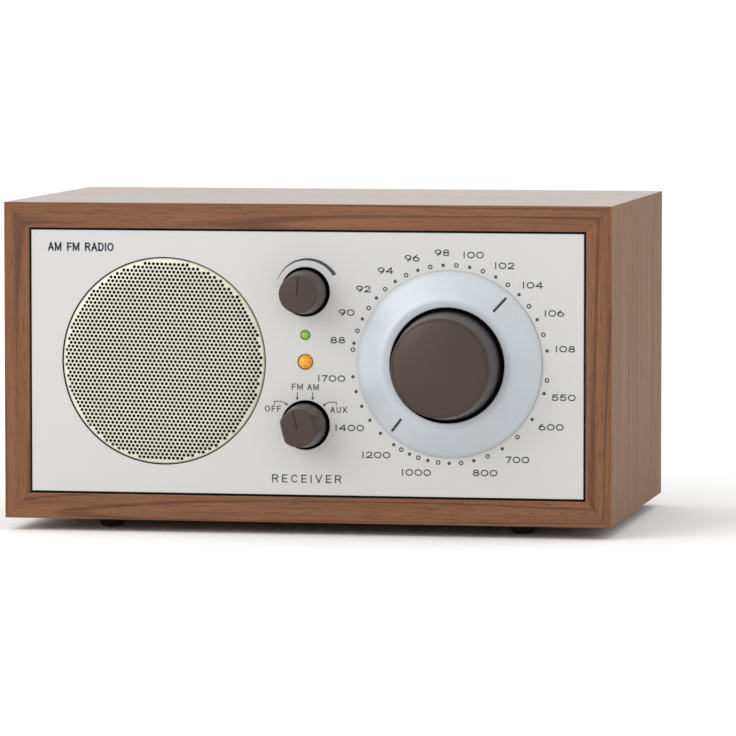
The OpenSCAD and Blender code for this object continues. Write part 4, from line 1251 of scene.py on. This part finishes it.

# %% [markdown]
# ## Words and marks
#
# The function knob has four positions. Thin lines lead from the words to small end dots near
# the knob. The volume knob has a mark that grows wider as the sound grows louder: a crescent
# between two arcs round one centre whose radii grow at different rates.

# %% Words
small_pen, small_high, line_pen = 0.34, 2.15, 0.3
labels = (("FM", (-2.84, 46.97), 3.9), ("AM", (2.66, 46.87), 4.0),
          ("OFF", (-11.43, 39.3), 5.75), ("AUX", (11.66, 39.2), 5.9))
label_strokes = [stroke for text, centre, wide in labels
                 for stroke in word(text, centre, small_high, small_pen, wide)]
marks = [
    [(-2.85, 44.98), (-2.85, 42.97)],
    [(2.56, 45.05), (2.56, 43.04)],
    [(-10.9, 40.86), (-10.9, 41.83), (-8.39, 41.87), (-6.64, 40.92)],
    [(10.81, 40.85), (10.81, 41.83), (8.2, 41.8), (6.63, 40.8)],
]
printed("function_words", label_strokes, small_pen, print_ink)
printed("function_lines", marks, line_pen, print_ink)
end_dots = dot_tree.make(spots([(*m[-1], 0) for m in marks], hollow=[0.0] * len(marks)),
                         Solid=0.42, Thick=0.035, Finish=print_ink)
ink_on_panel(end_dots, "function_end_dots")
title_pen, bold_pen = 0.42, 0.58
printed("receiver_word", word("RECEIVER", (0.42, 15.19), 2.8, title_pen, 24.3, gap=0.6),
        title_pen, print_ink)
printed("bands_words", word("AM FM RADIO", (-79.2, 94.6), 3.0, bold_pen, 23.4, gap=0.3),
        bold_pen, arc_ink)

# %% The volume mark


def crescent(centre, start, stop, inner, outer, steps, depth, thick):
    """A flat band between two arcs whose radii run from a first to a second value."""
    points, faces = [], []
    for k in range(steps + 1):
        t = k / steps
        a = math.radians(start + (stop - start) * t)
        for radius in (inner[0] + (inner[1] - inner[0]) * t, outer[0] + (outer[1] - outer[0]) * t):
            for level in (depth, depth - thick):
                points.append(on_front(centre)(radius * math.cos(a), radius * math.sin(a), level))
    for k in range(steps):
        b = 4 * k
        faces += [(b + 1, b + 5, b + 7, b + 3), (b, b + 2, b + 6, b + 4),
                  (b, b + 4, b + 5, b + 1), (b + 2, b + 3, b + 7, b + 6)]
    last = 4 * steps
    faces += [(0, 1, 3, 2), (last, last + 2, last + 3, last + 1)]
    return new_mesh(points, faces)


mark = crescent(volume, start=157.7, stop=29.8, inner=(10.45, 11.15), outer=(10.55, 12.5),
                steps=64, depth=panel_front, thick=dot_thick)
hand_over(mark, "volume_mark", "cabinet", finish=arc_ink)

# %% [markdown]
# ## The feet
#
# Four soft rubber domes keep the cabinet off the table. One foot is turned on the lathe, and a
# node tree sets it on four spots. The tree can put any part on any spots, so the screws at the
# back use it too, with a turn of their own for each.

# %% The tree that sets copies on spots
copies_tree = Recipe("copies_on_spots", Part=True, Finish="")
part_shape = copies_tree.add("ObjectInfo", {"Object": copies_tree.size("Part")},
                             out="Geometry")
turn_mark = copies_tree.add("InputNamedAttribute", {"Name": "turn"}, data_type="FLOAT")
turn_about = copies_tree.add("*ShaderNodeCombineXYZ", {"Y": turn_mark})
copies_tree.finish(copies_tree.add("InstanceOnPoints", {
    "Points": copies_tree.given, "Instance": part_shape, "Rotation": turn_about}))


def copies(mesh, points, turns, finish):
    """One part set on many spots, as a plain mesh."""
    part = bpy.data.objects.new("part", mesh)
    bpy.context.scene.collection.objects.link(part)
    result = copies_tree.make(spots(points, turn=turns), Part=part, Finish=finish)
    bpy.data.objects.remove(part)
    return tidy_mesh(result, merge=fine_merge)


def centred(mesh, point):
    """Moves a mesh so that the point becomes the origin, ready to be copied."""
    mesh.transform(Matrix.Translation(-point))
    return mesh


# %% The feet
foot_flat, foot_wide, foot_tall = 2.5, 5.0, 4.3
feet_low, feet_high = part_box("feet")
foot_x = feet_high.x / MM - foot_wide
foot_depths = ((feet_low.y - front_y) / MM + foot_wide, (feet_high.y - front_y) / MM - foot_wide)
foot_outline = [(0, -foot_tall)] + [
    (foot_flat + (foot_wide - foot_flat) * math.sin(math.radians(a)),
     -foot_tall * math.cos(math.radians(a))) for a in range(0, 91, 9)] + [(0, 0)]
foot = centred(turned(foot_outline, upright(0, 0), 48), place(0, 0, 0))
foot_spots = [place(x, depth, 0) for x in (-foot_x, foot_x) for depth in foot_depths]
hand_over(copies(foot, foot_spots, [0.0] * 4, foot_rubber), "rubber_feet", "cabinet",
          ["feet"])

# %% [markdown]
# ## The bass port
#
# A plastic tube under the left half lets the speaker breathe. Its mouth is rounded, so that
# the air doesn't hiss at the edge.

# %% The bass port
port_outline = [(16.8, 46, 0), (15, 46, 0.5), (15, 0, 0.9), (16.8, 0, 0.3), (16.8, 8.8, 0),
                (20, 8.8, 0), (20, 10.8, 0.5), (16.8, 10.8, 0)]
port_low, port_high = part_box("bass_port")
port_x = (port_low.x + port_high.x) / 2 / MM
port_depth = ((port_low.y + port_high.y) / 2 - front_y) / MM
hand_over(turned(rounded(port_outline), upright(port_x, port_depth), 96, closed=True),
          "port_tube", "cabinet", ["bass_port"], black_moulding)

# %% [markdown]
# ## The rear panel
#
# The back is a black board, set in between the boards, with a hole for every connector. It is
# the same kind of plate as the front, seen from the other side, so the same function makes it.

# %% The rear panel
rear_outer, rear_thick = deepest("rear_panel"), 3
jack_x = {"LINE OUT": -6, "AUX IN": 12, "PHONES": 30}
low_row, mains_x, dc_x, aerial = 32, 76, 52, (-40, 76)
jack_places = [(x, low_row) for x in jack_x.values()]
screw_places = [(x, z) for x in (-93.05, 93.05) for z in (13.3, 96.7)]
jack_hole, dc_hole, aerial_hole, screw_hole = 3.35, 4.35, 4.9, 1.55
mains_window = ("square", (65.5, 86.5), (26.3, 37.7))
switch_window = ("square", (-18.7, -9.3), (73.7, 78.3))
terminal_window = ("square", (-82, -58), (70.9, 81.1))
rear_holes = [("round", x, z, jack_hole, 48) for x, z in jack_places]
rear_holes += [("round", dc_x, low_row, dc_hole, 48), ("round", *aerial, aerial_hole, 48)]
rear_holes += [("round", x, z, screw_hole, 24) for x, z in screw_places]
rear_holes += [mains_window, switch_window, terminal_window]
hand_over(plate(square_of("rear_panel"), rear_holes, rear_outer, rear_outer - rear_thick,
                chamfer=0.2),
          "back_board", "cabinet", ["rear_panel"], black_moulding)

# %% Rear screws
head_outline = [(0, 126.25), (1.4, 126.15), (2.3, 125.75), (2.8, 125.2), (2.8, 124.9),
                (1.5, 124.9), (1.5, 111.2), (0.9, 110.9), (0, 110.9)]
cross_long, cross_half, cross_depth = (-1.5, 1.5), (-0.3, 0.3), (125.5, 127)
cross = [box_mesh(cross_long, cross_depth, cross_half, maker_axes),
         box_mesh(cross_half, cross_depth, cross_long, maker_axes)]
screw_turns = [0.3, 1.1, 0.7, 0.1]
screw = centred(carved(turned(head_outline, on_front((0, 0)), 28), cross), place(0, 0, 0))
screw_spots = [place(x, 0, z) for x, z in screw_places]
hand_over(copies(screw, screw_spots, screw_turns, zinc_steel), "back_screws",
          "cabinet", ["rear_screws"])

# %% [markdown]
# ## The connectors
#
# The aerial socket is a threaded nickel barrel with a pale insulator in it, held by a
# hexagonal nut. A thread is a helix, and a node tree sweeps a small ridge along a spiral. The
# audio sockets get bright rims, which is one ring on three spots.

# %% Thread and rims
thread_tree = Recipe("thread", Radius=4.5, Turns=6.3, Height=5.2, Ridge=0.25, Finish="")
spiral = thread_tree.add("CurveSpiral", {
    "Resolution": 36, "Rotations": thread_tree.size("Turns"),
    "Start Radius": thread_tree.size("Radius"), "End Radius": thread_tree.size("Radius"),
    "Height": thread_tree.size("Height")})
ridge_nib = thread_tree.add("CurvePrimitiveCircle", {
    "Resolution": 4, "Radius": thread_tree.size("Ridge")})
thread_tree.finish(thread_tree.add("CurveToMesh", {
    "Curve": spiral, "Profile Curve": ridge_nib, "Fill Caps": True}))

rim_tree = Recipe("metal_rims", Radius=2.4, Thick=0.42, Finish="")
rim_circle = rim_tree.add("CurvePrimitiveCircle", {
    "Resolution": 40, "Radius": rim_tree.size("Radius")})
rim_nib = rim_tree.add("CurvePrimitiveCircle", {"Resolution": 8, "Radius": rim_tree.size("Thick")})
rim_ring = rim_tree.add("CurveToMesh", {"Curve": rim_circle, "Profile Curve": rim_nib})
rim_tree.finish(rim_tree.add("InstanceOnPoints", {"Points": rim_tree.given, "Instance": rim_ring}))


def on_back(mesh, depth, centre=(0, 0)):
    """Stands a drawing up for someone behind the radio: x is mirrored, z comes out of the back."""
    mesh.transform(Matrix.Translation(place(centre[0], depth, centre[1]))
                   @ Matrix.Rotation(math.pi, 4, "Z") @ Matrix.Rotation(math.pi / 2, 4, "X")
                   @ Matrix.Scale(MM, 4))
    return mesh


# %% The aerial socket
barrel_outline = [(3.9, 127.9, 0), (3.9, 132.9, 0.1), (4.45, 132.9, 0.2), (4.45, 121.9, 0),
                  (7, 121.9, 0), (7, 118.9, 0), (4.75, 118.9, 0), (4.75, 113.9, 0),
                  (2.7, 113.9, 0), (2.7, 127.9, 0)]
nut_outline = [(4.5, 124.9), (6.6, 124.9), (6.6, 126.5), (6.2, 126.9), (4.5, 126.9)]
insulator_outline = [(0, 126.9), (0.6, 126.9), (0.6, 132.5), (2.3, 132.5), (2.6, 132.2),
                     (2.6, 115), (0, 115)]
thread_start = 127.2
thread = on_back(thread_tree.make(spots([(0, 0, 0)]), Finish=nickel), thread_start, aerial)
barrel = turned(rounded(barrel_outline), on_front(aerial), 64, closed=True)
nut = turned(nut_outline, on_front(aerial), 6, closed=True, smooth=5)
insulator = turned(insulator_outline, on_front(aerial), 40)
for mesh, finish in ((barrel, nickel), (nut, nickel), (insulator, nylon)):
    mesh.materials.append(finish)
hand_over(joined(barrel, nut, tidy_mesh(thread, merge=fine_merge), insulator),
          "aerial_socket", "cabinet", ["antenna_socket"])

# %% The audio sockets' rims
jack_end = 126.25
rims = rim_tree.make(spots([(-x, z, 0) for x, z in jack_places]), Finish=nickel)
hand_over(tidy_mesh(on_back(rims, jack_end), 40, fine_merge), "jack_rims", "cabinet")

# %% Terminals and the slide switch
eased("terminal_block", "wire_terminals", 0.25, black_gloss, longest_from=3)
for side, finish, slot in (("left", black_moulding, "black_plastic"),
                           ("right", red_moulding, "red_plastic")):
    eased(f"terminal_button_{side}", f"push_tab_{side}", 0.3, finish,
          body=f"terminal_{side}")
eased("switch_slider", "slide_tab", 0.15, black_gloss, body="antenna_slider")

rib_tree = Recipe("grip_ribs", Wide=0.35, High=3.0, Deep=0.3, Finish="")
rib_size = rib_tree.add("*ShaderNodeCombineXYZ", {
    "X": rib_tree.size("Wide"), "Y": rib_tree.size("High"), "Z": rib_tree.size("Deep")})
rib_tree.finish(rib_tree.add("InstanceOnPoints", {
    "Points": rib_tree.given, "Instance": rib_tree.add("MeshCube", {"Size": rib_size})}))
slider_low, slider_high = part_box("switch_slider")
slider_x = (slider_low.x + slider_high.x) / 2 / MM
switch_row = 76
ribs = rib_tree.make(spots([(-slider_x + step, switch_row, 0) for step in (-1.2, -0.4, 0.4, 1.2)]),
                     Finish=black_gloss)
hand_over(tidy_mesh(on_back(ribs, deepest("switch_slider")), merge=fine_merge),
          "slide_tab_ribs", "antenna_slider")

# %% [markdown]
# ## Words on the back
#
# A word that stands over the wrong socket is worse than none. Each audio word therefore takes
# its place from the same table as its jack.

# %% Words on the back
back_high, back_pen = 2.2, 0.3
low_words, switch_words, high_words = 43.5, 83, 87.5
back_words = []
for text, x, z, wide in (
        ("AC IN", mains_x, low_words, 8.5), ("DC IN", dc_x, low_words, 8.5),
        ("PHONES", jack_x["PHONES"], low_words, 11.5),
        ("LINE OUT", jack_x["LINE OUT"], low_words, 13.5),
        ("AUX IN", jack_x["AUX IN"], low_words, 10.5), ("FM", aerial[0], high_words, 4.6),
        ("AM", -70, high_words, 4.8), ("INT", -9.5, switch_words, 4.4),
        ("EXT", -18.5, switch_words, 4.8)):
    back_words += word(text, (-x, z), back_high, back_pen, wide)
back_ink = pen_tree.make(pen_lines(back_words, back_pen), Pen=back_pen, Finish=rear_ink)
hand_over(tidy_mesh(on_back(back_ink, rear_outer), merge=fine_merge), "back_words", "cabinet")

# %% [markdown]
# ## Finishes for the parts that stay
#
# The rest of the radio stays as the frame has it. Its shapes are exact already, and a finer
# copy would show no difference. Each of these nodes gets its finish here, in one table. The
# bracket and the dial's hub show in the gaps round the knobs, so both get the near black that
# stands for the shade in those gaps: painted shade.

# %% Finishes of the carried-over nodes
carried = {
    zinc_steel: ["baffle_screws", "speaker_frame", "pole_pieces", "speaker_screws",
                 "drive_housing", "capacitor_frame", "volume_pot", "chassis_screws",
                 "antenna_switch"],
    nickel: ["drive_balls", "control_nuts"],
    brass: ["tuning_shaft", "ball_cage", "capacitor_rotor", "volume_shaft", "function_shaft",
            "board_standoffs"],
    black_board: ["baffle"],
    # Painted shade: the hub and the bracket are near black so that the gaps round the knobs read dark.
    painted_shade_black: ["dial_hub", "control_bracket"],
    black_gloss: ["audio_jacks", "power_sockets"],
    knob_lacquer: ["dial_pointers"],
    cone_paper: ["speaker_cone", "dust_cap"],
    surround_rubber: ["speaker_surround"],
    foam: ["speaker_gasket"],
    spider_cloth: ["spider"],
    coil_copper: ["voice_coil"],
    ferrite: ["speaker_magnet", "ferrite_antenna"],
    lead_plastic: ["speaker_lead"],
    circuit_board: ["main_board", "control_board"],
    paxolin: ["function_switch"],
    black_aluminium: ["heat_sink"],
    core_steel: ["transformer"],
    nylon: ["rod_holders"],
    glue_block_wood: ["corner_blocks"],
}
for finish, names in carried.items():
    for name in names:
        nodes[name].material_slots[0].material = finish
shown = {name for name, node in nodes.items() if not node.hide_render}
listed = {name for names in carried.values() for name in names}
print("carried over:", len(listed), "without a finish:", sorted(shown - listed))

# %% [markdown]
# ## The studio
#
# A wide pale floor and a white sky, a little brighter on the left, give the soft light of a
# catalogue picture. One large soft light from the upper left gives the knobs and the ring their shape.
# None of this is part of the radio.

# %% Floor, sky and lights
scene = bpy.context.scene
scene.view_settings.view_transform = "Standard"

floor_finish = Finish("studio_floor", Roughness=0.9, Specular_IOR_Level=0.1)
mottle = floor_finish.level(floor_finish.noise(floor_finish.here, 3, 2), 0.3, 0.7)
floor_finish.use(Base_Color=floor_finish.blend(mottle, paint("#f7f7f6"), paint("#f9f9f8")))
floor_reach = 40
floor_mesh = bpy.data.meshes.new("floor")
floor_mesh.from_pydata([(x, y, -0.00005) for x, y in (
    (-floor_reach, -floor_reach), (floor_reach, -floor_reach),
    (floor_reach, floor_reach), (-floor_reach, floor_reach))], [], [(0, 1, 2, 3)])
floor_mesh.materials.append(floor_finish.material)
floor = bpy.data.objects.new("floor", floor_mesh)
scene.collection.objects.link(floor)


def wire_node(tree, kind, wires):
    """Adds one node to a tree and joins it up."""
    made = tree.nodes.new(kind)
    wire(tree, made, wires)
    return made


sky = bpy.data.worlds.new("studio_sky")
sky.use_nodes = True
left_light, right_light = 1.22, 0.98
way = wire_node(sky.node_tree, "ShaderNodeTexCoord", {}).outputs["Generated"]
sides = wire_node(sky.node_tree, "ShaderNodeSeparateXYZ", {0: way}).outputs["X"]
sky_light = wire_node(sky.node_tree, "ShaderNodeMapRange", {
    0: sides, 1: -1.0, 2: 1.0, 3: left_light, 4: right_light}).outputs[0]
wire(sky.node_tree, sky.node_tree.nodes["Background"], {
    "Color": (1, 1, 1, 1), "Strength": sky_light})
scene.world = sky


def soft_light(name, where, aim, wide, watts):
    """A square soft light that points at a spot."""
    data = bpy.data.lights.new(name, "AREA")
    data.size, data.energy = wide, watts
    light = bpy.data.objects.new(name, data)
    light.location = where
    light.rotation_euler = (Vector(aim) - Vector(where)).to_track_quat("-Z", "Y").to_euler()
    scene.collection.objects.link(light)


soft_light("key_light", where=(-1.0, -1.3, 0.95), aim=(0, 0, 0.06), wide=1.3, watts=13)
